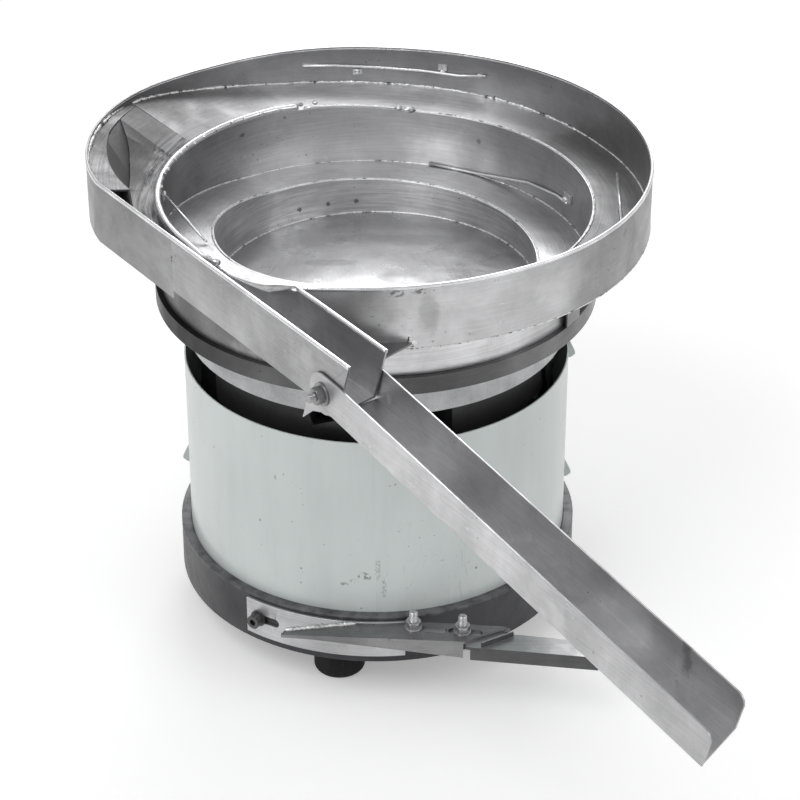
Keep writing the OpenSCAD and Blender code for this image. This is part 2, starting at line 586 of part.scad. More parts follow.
// Curved plate screwed to the base ring, with a slot for its bolt
plate_r = base_ring_d / 2 + 0.05;
plate_from = 231.5;
plate_to = 278;
plate_z = foot_h + 8;
slot_to = 241;
module arc_band(r0, r1, from, to, z, h) rotate([0, 0, from]) translate([0, 0, z])
    rotate_extrude(angle = to - from) translate([r0, 0]) square([r1 - r0, h]);
module mount_plate() color("gainsboro") difference() {
    arc_band(plate_r, plate_r + bracket_t, plate_from, plate_to, plate_z, mount_plate_h);
    arc_band(plate_r - 2, plate_r + 6, slot_bolt_angle, slot_to,
        slot_bolt_z - slot_bolt_d / 2 - 0.2, slot_bolt_d + 0.4);
    for (a = [slot_bolt_angle, slot_to]) rotate([0, 0, a]) translate([plate_r - 8, 0, slot_bolt_z])
        rotate([0, 90, 0]) cylinder(d = slot_bolt_d + 0.4, h = 20);
}
module slot_bolt() color("dimgray") rotate([0, 0, slot_bolt_angle])
    translate([base_ring_in_r + 2, 0, slot_bolt_z]) rotate([0, 90, 0]) {
        grip = plate_r + bracket_t - base_ring_in_r - 2;
        cylinder(d = slot_bolt_d, h = grip + 2);
        translate([0, 0, grip + 0.1]) cylinder(d = 2 * slot_bolt_d, h = 1.6);
        translate([0, 0, grip + 1.7]) difference() {
            cylinder(d = 13, h = slot_bolt_d);
            translate([0, 0, slot_bolt_d - 4]) hexagon(6, 5);
        }
    }

// Bracket: a flat web with a tapering flange folded down along its front edge
plate_front = -plate_r - bracket_t;
web_left = [-86, plate_front - 17];
web_right = [79, plate_front - 28];
arm_corner = [82, plate_front - 32];
arm_turn = -8;
stud_y = 19;
stud_x = [-51, -6];
slot_spans = [[-57, -20], [-19, 12.5]];
bracket_len = norm(web_right - web_left);
bracket_turn = atan2(web_right[1] - web_left[1], web_right[0] - web_left[0]);
module at_arm(z) translate([arm_corner[0], arm_corner[1], z]) rotate([0, 0, arm_turn]) children();
module stud_slot(span, h) {
    width = stud_d + 0.8;
    for (x = [span[0] + width / 2, span[1] - width / 2]) translate([x, stud_y, 0]) cylinder(d = width, h = h);
    translate([span[0] + width / 2, stud_y - width / 2, 0]) cube([span[1] - span[0] - width, width, h]);
}
module bracket_channel() color("gainsboro") difference() {
    union() {
        translate([0, 0, bracket_z - bracket_t]) linear_extrude(bracket_t) polygon([
            web_left, web_right, [122, plate_front - 7], [116, plate_front - 4], [41, plate_front + 3],
            [-13, plate_front + 2], [-83, plate_front - 10]]);
        translate([web_left[0], web_left[1], bracket_z]) rotate([90, 0, bracket_turn])
            translate([0, 0, -bracket_t]) linear_extrude(bracket_t) polygon([
                [0, 0], [0, -bracket_t], [28, -bracket_t - 1.2], [bracket_len, -18], [bracket_len, 0]]);
    }
    translate([0, 0, foot_h]) cylinder(r = plate_r + bracket_t + 0.05, h = 60);
    for (span = slot_spans) at_arm(bracket_z - bracket_t - 1) stud_slot(span, bracket_t + 2);
}
arm_z = bracket_z - bracket_t;
module extension_arm() color("gainsboro") at_arm(arm_z - bracket_t) {
    linear_extrude(bracket_t) polygon([
        [-57, 8], [-3, 8], [0, 0], [arm_len, 0], [arm_len - 24, arm_w], [20, arm_w + 2], [-57, arm_w + 2]]);
    translate([3.4, bracket_t, bracket_t]) rotate([90, 0, 0])
        linear_extrude(bracket_t) polygon([[0, 0], [arm_len - 3.4, 0], [arm_len - 4, -14], [0, -14]]);
    // Small upright strip where the arm leaves the bracket
    translate([13.8, 1.2, bracket_t - 0.1]) rotate([0, 0, 38.5]) cube([34, 1.5, 5]);
}
module bracket_studs() color("darkgray") at_arm(0) for (x = stud_x) translate([x, stud_y, arm_z]) {
    cylinder(d = stud_d, h = bracket_t + stud_h - 1);
    translate([0, 0, bracket_t + stud_h - 1]) cylinder(d1 = stud_d, d2 = stud_d - 2, h = 1);
}
nut_h = 0.8 * stud_d;
nut_w = 1.625 * stud_d;
washer_h = 1.6;
module bracket_washers() color("silver") at_arm(bracket_z) for (x = stud_x)
    translate([x, stud_y, 0]) tube(stud_d / 2, stud_d, washer_h);
module nut(d) difference() {
    intersection() {
        hexagon(1.625 * d, 0.8 * d);
        cylinder(d1 = 1.72 * d + 0.8 * d, d2 = 1.72 * d, h = 0.8 * d);
        cylinder(d2 = 1.72 * d + 0.8 * d, d1 = 1.72 * d, h = 0.8 * d);
    }
    translate([0, 0, -1]) cylinder(d = d, h = d + 2);
}
module bracket_nuts() color("silver") at_arm(bracket_z + washer_h) for (x = stud_x)
    translate([x, stud_y, 0]) rotate([0, 0, 12]) nut(stud_d);

// Chute: a folded channel that tilts on a bolt through the trough's end
front_in_w = -trough_face - chute_gap;
rear_in_w = inner_face + sheet + chute_gap;
floor_depth = 12;
module at_pivot() at_trough() translate([pivot_s, 0, -pivot_depth]) rotate([0, chute_slope, 0]) children();
wall_top = chute_wall_h - floor_depth;
ear_r = 18;
corner_r = 8;
// Side of the channel: round ear at the pivot, rounded upper corner at the far end
module side_outline(far) {
    circle(ear_r);
    difference() {
        polygon([[0, -ear_r], [0, ear_r], [20, wall_top], [far, wall_top], [far, wall_top - corner_r],
            [far - 4, -floor_depth - chute_sheet], [14, -floor_depth - chute_sheet]]);
        translate([far - corner_r, wall_top - corner_r]) square(corner_r + 1);
    }
    intersection() {
        translate([far - corner_r, wall_top - corner_r]) circle(corner_r);
        translate([far - corner_r - 1, wall_top - corner_r - 1]) square(corner_r + 1);
    }
}
// Pointed tab folded at the front wall's end
module pointed_tab() polygon([[-13, 2], [-19, -12], [-25.6, -39.3], [-11.3, -23.5], [10.6, -12.9], [6, 0]]);
module chute() color("silver") at_pivot() difference() {
    rear_far = chute_len - 17;
    union() {
        translate([0, front_in_w, 0]) rotate([90, 0, 0]) linear_extrude(chute_sheet) {
            side_outline(chute_len);
            pointed_tab();
        }
        translate([0, rear_in_w + chute_sheet, 0]) rotate([90, 0, 0])
            linear_extrude(chute_sheet) side_outline(rear_far);
        translate([0, 0, -floor_depth - chute_sheet]) linear_extrude(chute_sheet) polygon([
            [13, front_in_w - chute_sheet], [chute_len - 4, front_in_w - chute_sheet],
            [rear_far - 4, rear_in_w + chute_sheet], [13, rear_in_w + chute_sheet]]);
    }
    rotate([90, 0, 0]) cylinder(d = pivot_bolt_d + 0.1, h = trough_face + 20);
}

// Pivot: a bolt through the outer side, and on its axis a stud welded to the far side
bolt_head_h = 4;
bolt_end = 6;
grip_len = sheet + chute_gap + chute_sheet + 0.2;
module at_pivot_side(side) at_trough()
    translate([pivot_s, side > 0 ? inner_face : -trough_face + sheet, -pivot_depth])
    rotate([side > 0 ? -90 : 90, 0, 0]) children();
bolt_len = grip_len + washer_h + 0.8 * pivot_bolt_d + bolt_end;
module pivot_bolts() color("silver") {
    at_pivot_side(-1) {
        translate([0, 0, -bolt_head_h]) cylinder(d = 1.6 * pivot_bolt_d, h = bolt_head_h);
        cylinder(d = pivot_bolt_d, h = bolt_len);
    }
    at_pivot_side(1) translate([0, 0, sheet]) cylinder(d = pivot_bolt_d, h = bolt_len - sheet);
}
module pivot_washers() color("silver") for (side = [-1, 1]) at_pivot_side(side) {
    translate([0, 0, grip_len]) tube(pivot_bolt_d / 2, 1.25 * pivot_bolt_d, washer_h);
    translate([0, 0, sheet]) tube(pivot_bolt_d / 2, pivot_bolt_d, chute_gap - 0.1);
}
module pivot_nuts() color("silver") for (side = [-1, 1]) at_pivot_side(side)
    translate([0, 0, grip_len + washer_h]) nut(pivot_bolt_d);

bowl_floor();
inner_wall();
lower_track();
track_riser();
middle_wall();
upper_track();
end_track();
drop_wall();
return_pan();
outer_wall();
wall_bead();
exit_trough();
trough_gusset();
outer_guide_wire();
middle_guide_wire();
inner_guide_rail();
track_rod();
cross_rod();
wire_clips();
seat_ring();
hold_down_tabs();
top_casting();
armature();
magnet_core();
magnet_coil();
upper_clamp_plates();
lower_clamp_plates();
upper_spring_bolts();
lower_spring_bolts();
rubber_feet();
foot_screws();
bottom_plate();
base_casting();
base_ring();
cable_gland();
cover();
cover_ears();
mount_plate();
slot_bolt();
bracket_channel();
extension_arm();
bracket_studs();
bracket_washers();
bracket_nuts();
chute();
pivot_bolts();
pivot_washers();
pivot_nuts();
spring_pack(0);  // spring_pack_1
upper_block(0);  // upper_block_1
lower_block(0);  // lower_block_1
spring_pack(1);  // spring_pack_2
upper_block(1);  // upper_block_2
lower_block(1);  // lower_block_2
spring_pack(2);  // spring_pack_3
upper_block(2);  // upper_block_3
lower_block(2);  // lower_block_3
spring_pack(3);  // spring_pack_4
upper_block(3);  // upper_block_4
lower_block(3);  // lower_block_4
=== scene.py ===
"""Vibratory bowl feeder: finishes, welds, hems, threads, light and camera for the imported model.

Metres throughout. The bowl's axis is Z, and the trough and chute run towards the front right.
"""

import logging
import math
from collections.abc import Callable, Sequence
from dataclasses import dataclass, field
from enum import Enum

import bmesh
import bpy
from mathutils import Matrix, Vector, noise


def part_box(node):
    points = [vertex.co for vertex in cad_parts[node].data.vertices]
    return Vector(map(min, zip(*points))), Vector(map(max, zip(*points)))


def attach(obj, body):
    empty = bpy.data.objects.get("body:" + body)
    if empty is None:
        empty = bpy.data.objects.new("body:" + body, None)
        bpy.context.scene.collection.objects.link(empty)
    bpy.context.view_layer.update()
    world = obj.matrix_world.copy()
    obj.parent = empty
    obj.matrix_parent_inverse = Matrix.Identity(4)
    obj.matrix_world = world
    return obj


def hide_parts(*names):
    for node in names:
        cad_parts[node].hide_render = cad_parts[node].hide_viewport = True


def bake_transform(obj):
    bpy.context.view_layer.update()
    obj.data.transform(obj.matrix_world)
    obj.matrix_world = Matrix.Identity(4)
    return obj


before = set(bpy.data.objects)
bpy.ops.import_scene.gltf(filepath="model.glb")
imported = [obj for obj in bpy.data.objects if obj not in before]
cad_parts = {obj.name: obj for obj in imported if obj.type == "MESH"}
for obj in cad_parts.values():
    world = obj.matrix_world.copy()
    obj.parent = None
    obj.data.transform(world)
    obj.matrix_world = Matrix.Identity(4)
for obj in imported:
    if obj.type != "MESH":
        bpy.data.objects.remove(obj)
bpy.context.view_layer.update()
LOG = logging.getLogger("bowl_feeder")

# Sizes that several pieces share.
SHEET = 0.002
M8_RADIUS = 0.004
M8_PITCH = 0.00125
# Corners closer than this are one corner of a skin.
SAME_CORNER = 0.00002
# Distance between two sections of a weld run.
SEAM_STEP = 0.0016
# How far from a sheet's edge its upper edge is looked for.
EDGE_BAND = 0.0012
# How uneven a lump of weld metal is.
LUMP_ROUGH = 0.3
# A thread's depth, the steepness of its flanks and its end chamfer, by its pitch.
THREAD_DEPTH, THREAD_FLANK, THREAD_CHAMFER = 0.61, 1.15, 0.8
# Corners round a threaded rod, and sections in one turn of its thread.
ROD_SIDES, ROD_SECTIONS = 28, 8
# Angles, in degrees, from which the rim and the tracks are counted.
RIM_START = -106.0
TRACK_START = -90.01


class Body(Enum):
    """Bodies that new pieces ride on."""

    BASE = "base"
    BOWL = "bowl"
    ARM = "arm"


class Slot(Enum):
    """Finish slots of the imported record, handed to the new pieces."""

    STEEL = "brushed_stainless"
    DARK_STEEL = "dark_steel"
    ZINC = "zinc_plate"


class Grain(Enum):
    """Direction in which a sheet was brushed."""

    AROUND = "around the bowl's axis"
    ALONG = "along the trough"
    PLAIN = "along the X axis"


@dataclass(frozen=True)
class Mark:
    """A stain, rub or scrape at one place of a surface, which some lists use for painted highlights and
    painted shade instead.

    Its tone is its strength, dark below zero and bright above. The stretch widens it along X, Y
    and Z, and broken is the scale of the grit that breaks it up.
    """

    place: Vector
    radius: float
    tone: float
    stretch: tuple[float, float, float] = (1.0, 1.0, 1.0)
    broken: float = 0.0


def turn_from(point: Vector, start: float) -> float:
    """Angle of a point about the bowl's axis, in degrees from a starting angle."""
    return (math.degrees(math.atan2(point.y, point.x)) - start) % 360.0


def outward(point: Vector, step: float) -> Vector:
    """A point moved level away from the bowl's axis."""
    return point + Vector((point.x, point.y, 0.0)).normalized() * step


@dataclass(frozen=True)
class Layout:
    """Main sizes of the feeder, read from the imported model."""

    rim_z: float = field(default_factory=lambda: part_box("outer_wall")[1].z)
    bowl_r: float = field(default_factory=lambda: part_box("outer_wall")[1].x)
    middle_r: float = field(default_factory=lambda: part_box("middle_wall")[1].x - SHEET)
    well_r: float = field(default_factory=lambda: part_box("bowl_floor")[1].x)
    trough_angle: float = math.radians(55.3)
    trough_face: float = 0.2335
    corner_bulge: float = 0.009
    sheet: float = SHEET
    trough_w: float = 0.037
    straight_s: float = 0.200
    trough_len: float = 0.306
    trough_depth: float = 0.0505
    hem_gap: float = 0.001
    foot_rise: float = 0.0006

    @property
    def foot_z(self) -> float:
        """Height of the weld along the outer wall's lower edge."""
        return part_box("outer_wall")[0].z + self.foot_rise

    @property
    def along(self) -> Vector:
        """Direction in which the trough runs."""
        return Vector((math.cos(self.trough_angle), -math.sin(self.trough_angle), 0.0))

    @property
    def inward(self) -> Vector:
        """Level direction from the trough's outer wall towards the bowl's axis."""
        return Vector((math.sin(self.trough_angle), math.cos(self.trough_angle), 0.0))

    @property
    def inner_w(self) -> float:
        """Place of the trough's inner wall across the trough, at its end."""
        return -(self.trough_face - self.sheet - self.trough_w)

    @property
    def inner_slope(self) -> float:
        """How fast the inner wall leaves the middle wall."""
        return (self.middle_r + self.sheet + self.inner_w) / self.straight_s

    def at(self, s: float, w: float, z: float) -> Vector:
        """Point at s along the trough, w across it and z high."""
        return self.along * s + self.inward * w + Vector((0.0, 0.0, z))

    def round(self, radius: float, degrees: float, z: float) -> Vector:
        """Point at a radius and an angle about the bowl's axis."""
        turn = math.radians(degrees)
        return Vector((radius * math.cos(turn), radius * math.sin(turn), z))

    def below(self, radius: float, degrees: float, drop: float) -> Vector:
        """Point at a radius and an angle, that far below the rim."""
        return self.round(radius, degrees, self.rim_z - drop)

    def inner_wall_w(self, s: float) -> float:
        """Middle of the trough's inner wall at s."""
        return self.inner_slope * min(s, self.straight_s) - self.middle_r - self.sheet / 2

    def corner_s(self) -> float:
        """Finds where the trough's inner wall meets the outer wall.

        Returns:
            The distance along the trough.
        """
        k, c = self.inner_slope, self.middle_r + self.sheet / 2
        r = self.bowl_r + self.corner_bulge - self.sheet / 2
        return (k * c + math.sqrt((k * c) ** 2 - (1 + k * k) * (c * c - r * r))) / (1 + k * k)

    def rim_line(self, z: float) -> list[Vector]:
        """Middle of the outer wall's top, from the trough's corner round to the trough's end.

        Args:
            z: height of the points.

        Returns:
            The points in order.
        """
        rings: dict[int, list[Vector]] = {}
        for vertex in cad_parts["outer_wall"].data.vertices:
            if vertex.co.z > self.rim_z - self.sheet / 2:
                tenth = round(turn_from(vertex.co, RIM_START) * 10)
                rings.setdefault(tenth, []).append(Vector((vertex.co.x, vertex.co.y, z)))
        start = self.corner_s()
        points = [self.at(start, self.inner_wall_w(start), z)]
        for turn in sorted(rings):
            # Only corners on both faces of the sheet give its middle.
            ring = sorted(rings[turn], key=lambda p: p.xy.length)
            if (ring[-1] - ring[0]).length > self.sheet * 0.7:
                points.append((ring[0] + ring[-1]) / 2)
        end = self.trough_len - self.hem_gap
        points.append(self.at(end, -self.trough_face + self.sheet / 2, z))
        return points


LAYOUT = Layout()


# ---------------------------------------------------------------- node trees


class NodeSheet:
    """Node tree of one material, put together from small steps."""

    def __init__(self, name: str) -> None:
        """Makes an empty material with its shader.

        Args:
            name: name of the material.
        """
        self.material = bpy.data.materials.new(name)
        self.material.use_nodes = True
        self.tree = self.material.node_tree
        self.shader = self.tree.nodes["Principled BSDF"]
        coords = self.tree.nodes.new("ShaderNodeTexCoord")
        self.place = coords.outputs["Object"]
        self.facing = coords.outputs["Normal"]

    def feed(self, socket: bpy.types.NodeSocket, value: object) -> None:
        """Links a socket to another one, or sets it to a plain value.

        Args:
            socket: input socket.
            value: output socket, number or tuple.
        """
        if isinstance(value, bpy.types.NodeSocket):
            self.tree.links.new(value, socket)
        else:
            socket.default_value = value

    def math(self, operation: str, *values: object) -> bpy.types.NodeSocket:
        """One arithmetic step.

        Args:
            operation: name of the operation.
            values: its inputs.

        Returns:
            The result's socket.
        """
        node = self.tree.nodes.new("ShaderNodeMath")
        node.operation = operation
        for socket, value in zip(node.inputs, values):
            self.feed(socket, value)
        return node.outputs[0]

    def times(self, first: object, *others: object) -> bpy.types.NodeSocket:
        """Multiplies values in order.

        Args:
            first: first value.
            others: values that it is multiplied by.

        Returns:
            The product's socket.
        """
        for value in others:
            first = self.math("MULTIPLY", first, value)
        return first

    def toward(self, value: object, goal: float, share: object) -> bpy.types.NodeSocket:
        """A value moved a share of the way towards a goal."""
        return self.math("ADD", value, self.times(share, self.math("SUBTRACT", goal, value)))

    def lines(self, value: object, width: float) -> bpy.types.NodeSocket:
        """Thin lines where a noise crosses its middle."""
        away = self.math("ABSOLUTE", self.math("SUBTRACT", value, 0.5))
        return self.span(away, 0.0, width, 1.0, 0.0)

    def reach(self, x: object, y: object) -> bpy.types.NodeSocket:
        """Distance from the bowl's axis, from a place's X and Y."""
        return self.math("SQRT", self.math("ADD", self.times(x, x), self.times(y, y)))

    def vector(self, operation: str, *values: object) -> bpy.types.Node:
        """One vector step.

        Args:
            operation: name of the operation.
            values: its inputs.

        Returns:
            The step's node.
        """
        node = self.tree.nodes.new("ShaderNodeVectorMath")
        node.operation = operation
        for socket, value in zip(node.inputs, values):
            self.feed(socket, value)
        return node

    def split(self, source: object) -> tuple[bpy.types.NodeSocket, ...]:
        """Takes a vector apart.

        Args:
            source: the vector.

        Returns:
            Its three parts.
        """
        node = self.tree.nodes.new("ShaderNodeSeparateXYZ")
        self.feed(node.inputs[0], source)
        return tuple(node.outputs)

    def join(self, *parts: object) -> bpy.types.NodeSocket:
        """Puts a vector together.

        Args:
            parts: its X, Y and Z.

        Returns:
            The vector's socket.
        """
        node = self.tree.nodes.new("ShaderNodeCombineXYZ")
        for socket, value in zip(node.inputs, parts):
            self.feed(socket, value)
        return node.outputs[0]

    def noise(self, place: object, scale: float, detail: float = 3.0, rough: float = 0.5,
              twist: float = 0.0) -> bpy.types.NodeSocket:
        """Soft noise over a place.

        Args:
            place: vector socket.
            scale: scale of the noise.
            detail: number of finer layers.
            rough: weight of the finer layers.
            twist: distortion.

        Returns:
            The noise's value, about 0.5 on average.
        """
        node = self.tree.nodes.new("ShaderNodeTexNoise")
        for name, value in (("Vector", place), ("Scale", scale), ("Detail", detail),
                            ("Roughness", rough), ("Distortion", twist)):
            self.feed(node.inputs[name], value)
        return node.outputs[0]

    def span(self, value: object, low: float, high: float, to_low: float = 0.0,
             to_high: float = 1.0) -> bpy.types.NodeSocket:
        """Maps a value from one range to another with smooth ends.

        Args:
            value: socket to map.
            low: start of its range.
            high: end of its range.
            to_low: result at the start.
            to_high: result at the end.

        Returns:
            The mapped value's socket.
        """
        node = self.tree.nodes.new("ShaderNodeMapRange")
        node.interpolation_type = "SMOOTHSTEP"
        for socket, part in zip(node.inputs, (value, low, high, to_low, to_high)):
            self.feed(socket, part)
        return node.outputs[0]

    def blend(self, share: object, first: object, second: object) -> bpy.types.NodeSocket:
        """Mixes two colours.

        Args:
            share: 0 gives the first, 1 the second.
            first: colour or socket.
            second: colour or socket.

        Returns:
            The mixed colour's socket.
        """
        node = self.tree.nodes.new("ShaderNodeMix")
        node.data_type = "RGBA"
        self.feed(node.inputs[0], share)
        for socket, value in ((node.inputs[6], first), (node.inputs[7], second)):
            if not isinstance(value, bpy.types.NodeSocket):
                value = (*value, 1.0)
            self.feed(socket, value)
        return node.outputs[2]

    def scaled(self, colour: object, factor: object) -> bpy.types.NodeSocket:
        """Scales a colour or vector.

        Args:
            colour: colour or socket.
            factor: what it is multiplied by.

        Returns:
            The result's socket.
        """
        node = self.tree.nodes.new("ShaderNodeVectorMath")
        node.operation = "SCALE"
        plain = not isinstance(colour, bpy.types.NodeSocket)
        self.feed(node.inputs[0], tuple(colour) if plain else colour)
        self.feed(node.inputs["Scale"], factor)
        return node.outputs[0]

    def bump(self, height: object, depth: float, strength: float = 1.0,
             under: object = None) -> bpy.types.NodeSocket:
        """Turns a height into a normal.

        Args:
            height: socket of the height, 0 to 1.
            depth: height in metres.
            strength: strength of the effect.
            under: normal of another bump below it.

        Returns:
            The normal's socket.
        """
        node = self.tree.nodes.new("ShaderNodeBump")
        self.feed(node.inputs["Height"], height)
        node.inputs["Distance"].default_value = depth
        node.inputs["Strength"].default_value = strength
        if under is not None:
            self.feed(node.inputs["Normal"], under)
        return node.outputs[0]

    def grain(self, direction: Grain, along: float, across: float) -> bpy.types.NodeSocket:
        """A place stretched along the brushing direction.

        Args:
            direction: how the sheet was brushed.
            along: length of a streak.
            across: width of a streak.

        Returns:
            The stretched vector's socket.
        """
        x, y, z = self.split(self.place)
        if direction is Grain.AROUND:
            first = self.times(self.math("ARCTAN2", x, y), LAYOUT.middle_r / along)
            second = self.math("DIVIDE", self.reach(x, y), across)
        elif direction is Grain.ALONG:
            first, second = (
                self.math("DIVIDE", self.vector("DOT_PRODUCT", self.place, tuple(way)).outputs[1],
                          size)
                for way, size in ((LAYOUT.along, along), (LAYOUT.inward, across)))
        else:
            first, second = self.math("DIVIDE", x, along), self.math("DIVIDE", y, across)
        return self.join(first, second, self.math("DIVIDE", z, across))

    def spot(self, mark: Mark) -> bpy.types.NodeSocket:
        """How strongly one mark shows, with ragged edges.

        Args:
            mark: the mark.

        Returns:
            Socket from 0 to 1.
        """
        shift = self.vector("SUBTRACT", self.place, tuple(mark.place)).outputs[0]
        pull = tuple(1.0 / v for v in Vector(mark.stretch))
        away = self.vector("LENGTH", self.vector("MULTIPLY", shift, pull).outputs[0]).outputs[1]
        ragged = self.math("MULTIPLY_ADD", self.noise(self.place, 0.9 / mark.radius, 4.0, 0.65),
                           mark.radius * 1.6, self.math("SUBTRACT", away, mark.radius * 0.8))
        share = self.span(ragged, mark.radius * 0.55, mark.radius * 1.1, 1.0, 0.0)
        if mark.broken > 0:
            grit = self.noise(self.place, mark.broken, 3.0, 0.6)
            share = self.times(share, self.span(grit, 0.48, 0.54))
        return share

    def paint(self, colour: object, rough: object, normal: object,
              metal: float = 0.0) -> bpy.types.Material:
        """Feeds the shader.

        Args:
            colour: base colour.
            rough: roughness.
            normal: normal of the bumps.
            metal: how metallic the surface is.

        Returns:
            The material.
        """
        for name, value in (("Base Color", colour), ("Roughness", rough), ("Normal", normal)):
            self.feed(self.shader.inputs[name], value)
        self.shader.inputs["Metallic"].default_value = metal
        return self.material


def mixed(tree: bpy.types.NodeTree, share: bpy.types.NodeSocket, first: bpy.types.NodeSocket,
          second: bpy.types.NodeSocket) -> bpy.types.NodeSocket:
    """Mixes two shaders.

    Args:
        tree: node tree.
        share: 0 gives the first, 1 the second.
        first: first shader.
        second: second shader.

    Returns:
        The mixed shader's socket.
    """
    node = tree.nodes.new("ShaderNodeMixShader")
    for socket, source in zip(node.inputs, (share, first, second)):
        tree.links.new(source, socket)
    return node.outputs[0]


# ---------------------------------------------------------------- finishes


# Tones that dark marks, bright marks and bare edges with a painted highlight run towards, by the finish's
# own tone.
DARK_GOAL, BRIGHT_GOAL, EDGE_GOAL = 0.25, 1.75, 1.85
# Where the painted light and shade of a side and of the back start, by the radius, and how far on they
# are full.
SIDE_START, BACK_START, SIDE_FULL = 0.35, 0.45, 2.7
BARE_METAL = (0.26, 0.26, 0.27)
DIRT = (0.10, 0.11, 0.10)
DUST = (0.09, 0.088, 0.085)


@dataclass(frozen=True)
class SteelFinish:
    """Bare steel sheet: brushed, clouded, stained and rubbed bright on its edges, with painted light and
    shade.

    The sides are painted light and shade: tone factors towards the left, the right and the back of
    the bowl. The rub is a bright band's inner and outer radius and its strength. The factor for
    faces that look up is painted light and shade by facing, and those above edge_above are bare
    edges, lightened further as a painted highlight.
    """

    name: str
    tone: float = 0.42
    rough: float = 0.34
    grain: Grain = Grain.AROUND
    streak: float = 0.10
    cloud: float = 0.18
    smudge: float = 0.12
    pits: float = 0.5
    scratch: float = 0.25
    wave: float = 0.4
    metal: float = 0.84
    painted_top_light: float = 1.0
    sides: tuple[float, float, float] | None = None
    edge_above: float | None = None
    marks: tuple[Mark, ...] = ()
    rub: tuple[float, float, float] | None = None

    def make(self) -> bpy.types.Material:
        """Builds the material.

        Returns:
            The material.
        """
        t = NodeSheet(self.name)
        clouds = t.noise(t.place, 7.0, 3.0, 0.5, 0.8)
        patches = t.noise(t.place, 30.0, 5.0, 0.65, 0.4)
        streaks = t.noise(t.grain(self.grain, 0.05, 0.0016), 1.0, 4.0, 0.6)
        fine = t.noise(t.grain(self.grain, 0.012, 0.0005), 1.0, 2.0, 0.5)
        tone = t.times(t.span(clouds, 0.3, 0.7, 1 - self.cloud, 1 + self.cloud),
                       t.span(patches, 0.3, 0.72, 1 + self.smudge * 0.5, 1 - self.smudge),
                       t.span(streaks, 0.25, 0.75, 1 - self.streak, 1 + self.streak))
        drift = t.noise(t.grain(self.grain, 0.09, 0.012), 1.0, 2.0, 0.4, 0.6)
        scratches = t.times(t.lines(drift, 0.006), t.span(patches, 0.45, 0.6))
        tone = t.math("ADD", tone, t.times(scratches, self.scratch))
        pits = t.times(t.span(t.noise(t.place, 330.0, 1.0), 0.70, 0.76),
                       t.span(t.noise(t.place, 22.0, 2.0), 0.52, 0.62))
        tone = t.times(tone, t.math("SUBTRACT", 1.0, t.times(pits, self.pits)))
        rough = t.span(patches, 0.3, 0.7, self.rough - 0.05, self.rough + 0.08)
        if self.rub is not None:
            tone, rough = self._rubbed(t, tone, rough)
        for mark in self.marks:
            share = t.times(t.spot(mark), min(1.0, abs(mark.tone)))
            tone = t.toward(tone, DARK_GOAL if mark.tone < 0 else BRIGHT_GOAL, share)
        # Bare cut edges on top at the rim, lightened further as a painted highlight.
        if self.edge_above is not None:
            up = t.span(t.split(t.facing)[2], 0.45, 0.8)
            high = t.span(t.split(t.place)[2], self.edge_above - 0.0004, self.edge_above)
            tone = t.toward(tone, EDGE_GOAL, t.times(up, high))
        # Painted light and shade: the left, the right and the back of the bowl get their own tone
        # factors.
        if self.sides is not None:
            tone = self._paint_side_light(t, tone)
        # Painted light and shade: faces that look up are made lighter or darker by a tone factor.
        if self.painted_top_light != 1.0:
            tone = t.times(tone, t.span(t.split(t.facing)[2], 0.5, 0.95, 1.0, self.painted_top_light))
        dents = t.bump(t.noise(t.place, 16.0, 2.0, 0.5, 0.3), 0.004, self.wave)
        brushed = t.bump(t.math("ADD", fine, streaks), 0.00012, 0.5, dents)
        colour = t.scaled((self.tone, self.tone, self.tone * 1.015), tone)
        return t.paint(colour, rough, t.bump(pits, 0.0004, -0.6, brushed), self.metal)

    def _paint_side_light(self, t: NodeSheet, tone: bpy.types.NodeSocket) -> bpy.types.NodeSocket:
        """Paints light and shade onto the left, the right and the back of the bowl, as tone factors.

        Args:
            t: the node tree.
            tone: tone so far.

        Returns:
            The new tone.
        """
        x, y, _ = t.split(t.place)
        reach = t.reach(x, y)
        left, right, back = self.sides
        for part, low, goal in ((x, -SIDE_START, left), (x, SIDE_START, right),
                                (y, BACK_START, back)):
            share = t.math("DIVIDE", part, reach)
            tone = t.times(tone, t.span(share, low, SIDE_FULL * low, 1.0, goal))
        return tone

    def _rubbed(self, t: NodeSheet, tone: bpy.types.NodeSocket,
                rough: bpy.types.NodeSocket) -> tuple[bpy.types.NodeSocket, bpy.types.NodeSocket]:
        """Adds a band that parts have rubbed bright, at one radius.

        Args:
            t: the node tree.
            tone: tone so far.
            rough: roughness so far.

        Returns:
            The new tone and roughness.
        """
        inner, outer, gain = self.rub
        x, y, _ = t.split(t.place)
        wander = t.math("MULTIPLY_ADD", t.noise(t.place, 18.0, 3.0, 0.6), 0.014,
                        t.math("SUBTRACT", t.reach(x, y), 0.007))
        band = t.span(wander, (inner + outer) / 2, outer, 1.0, 0.0)
        swirl = t.noise(t.grain(Grain.AROUND, 0.11, 0.0028), 1.0, 5.0, 0.7, 0.5)
        swirl = t.span(swirl, 0.3, 0.7, -0.45, 1.0)
        tone = t.math("ADD", tone, t.times(band, t.times(swirl, gain)))
        return tone, t.math("ADD", rough, t.times(band, 0.06))


@dataclass(frozen=True)
class WeldFinish:
    """Weld metal: bright, lumpy, with dark pits and cinders."""

    name: str
    tone: float = 0.72
    rough: float = 0.28
    pits: float = 0.7

    def make(self) -> bpy.types.Material:
        """Builds the material.

        Returns:
            The material.
        """
        t = NodeSheet(self.name)
        grit = t.noise(t.place, 420.0, 4.0, 0.65)
        cinders = t.span(t.noise(t.place, 150.0, 3.0, 0.6), 0.53, 0.66)
        tone = t.times(t.span(grit, 0.3, 0.7, 0.78, 1.15),
                       t.math("SUBTRACT", 1.0, t.times(cinders, self.pits)))
        rough = t.span(grit, 0.3, 0.7, self.rough, self.rough + 0.2)
        return t.paint(t.scaled((self.tone,) * 3, tone), rough, t.bump(grit, 0.0005, 0.6), 1.0)


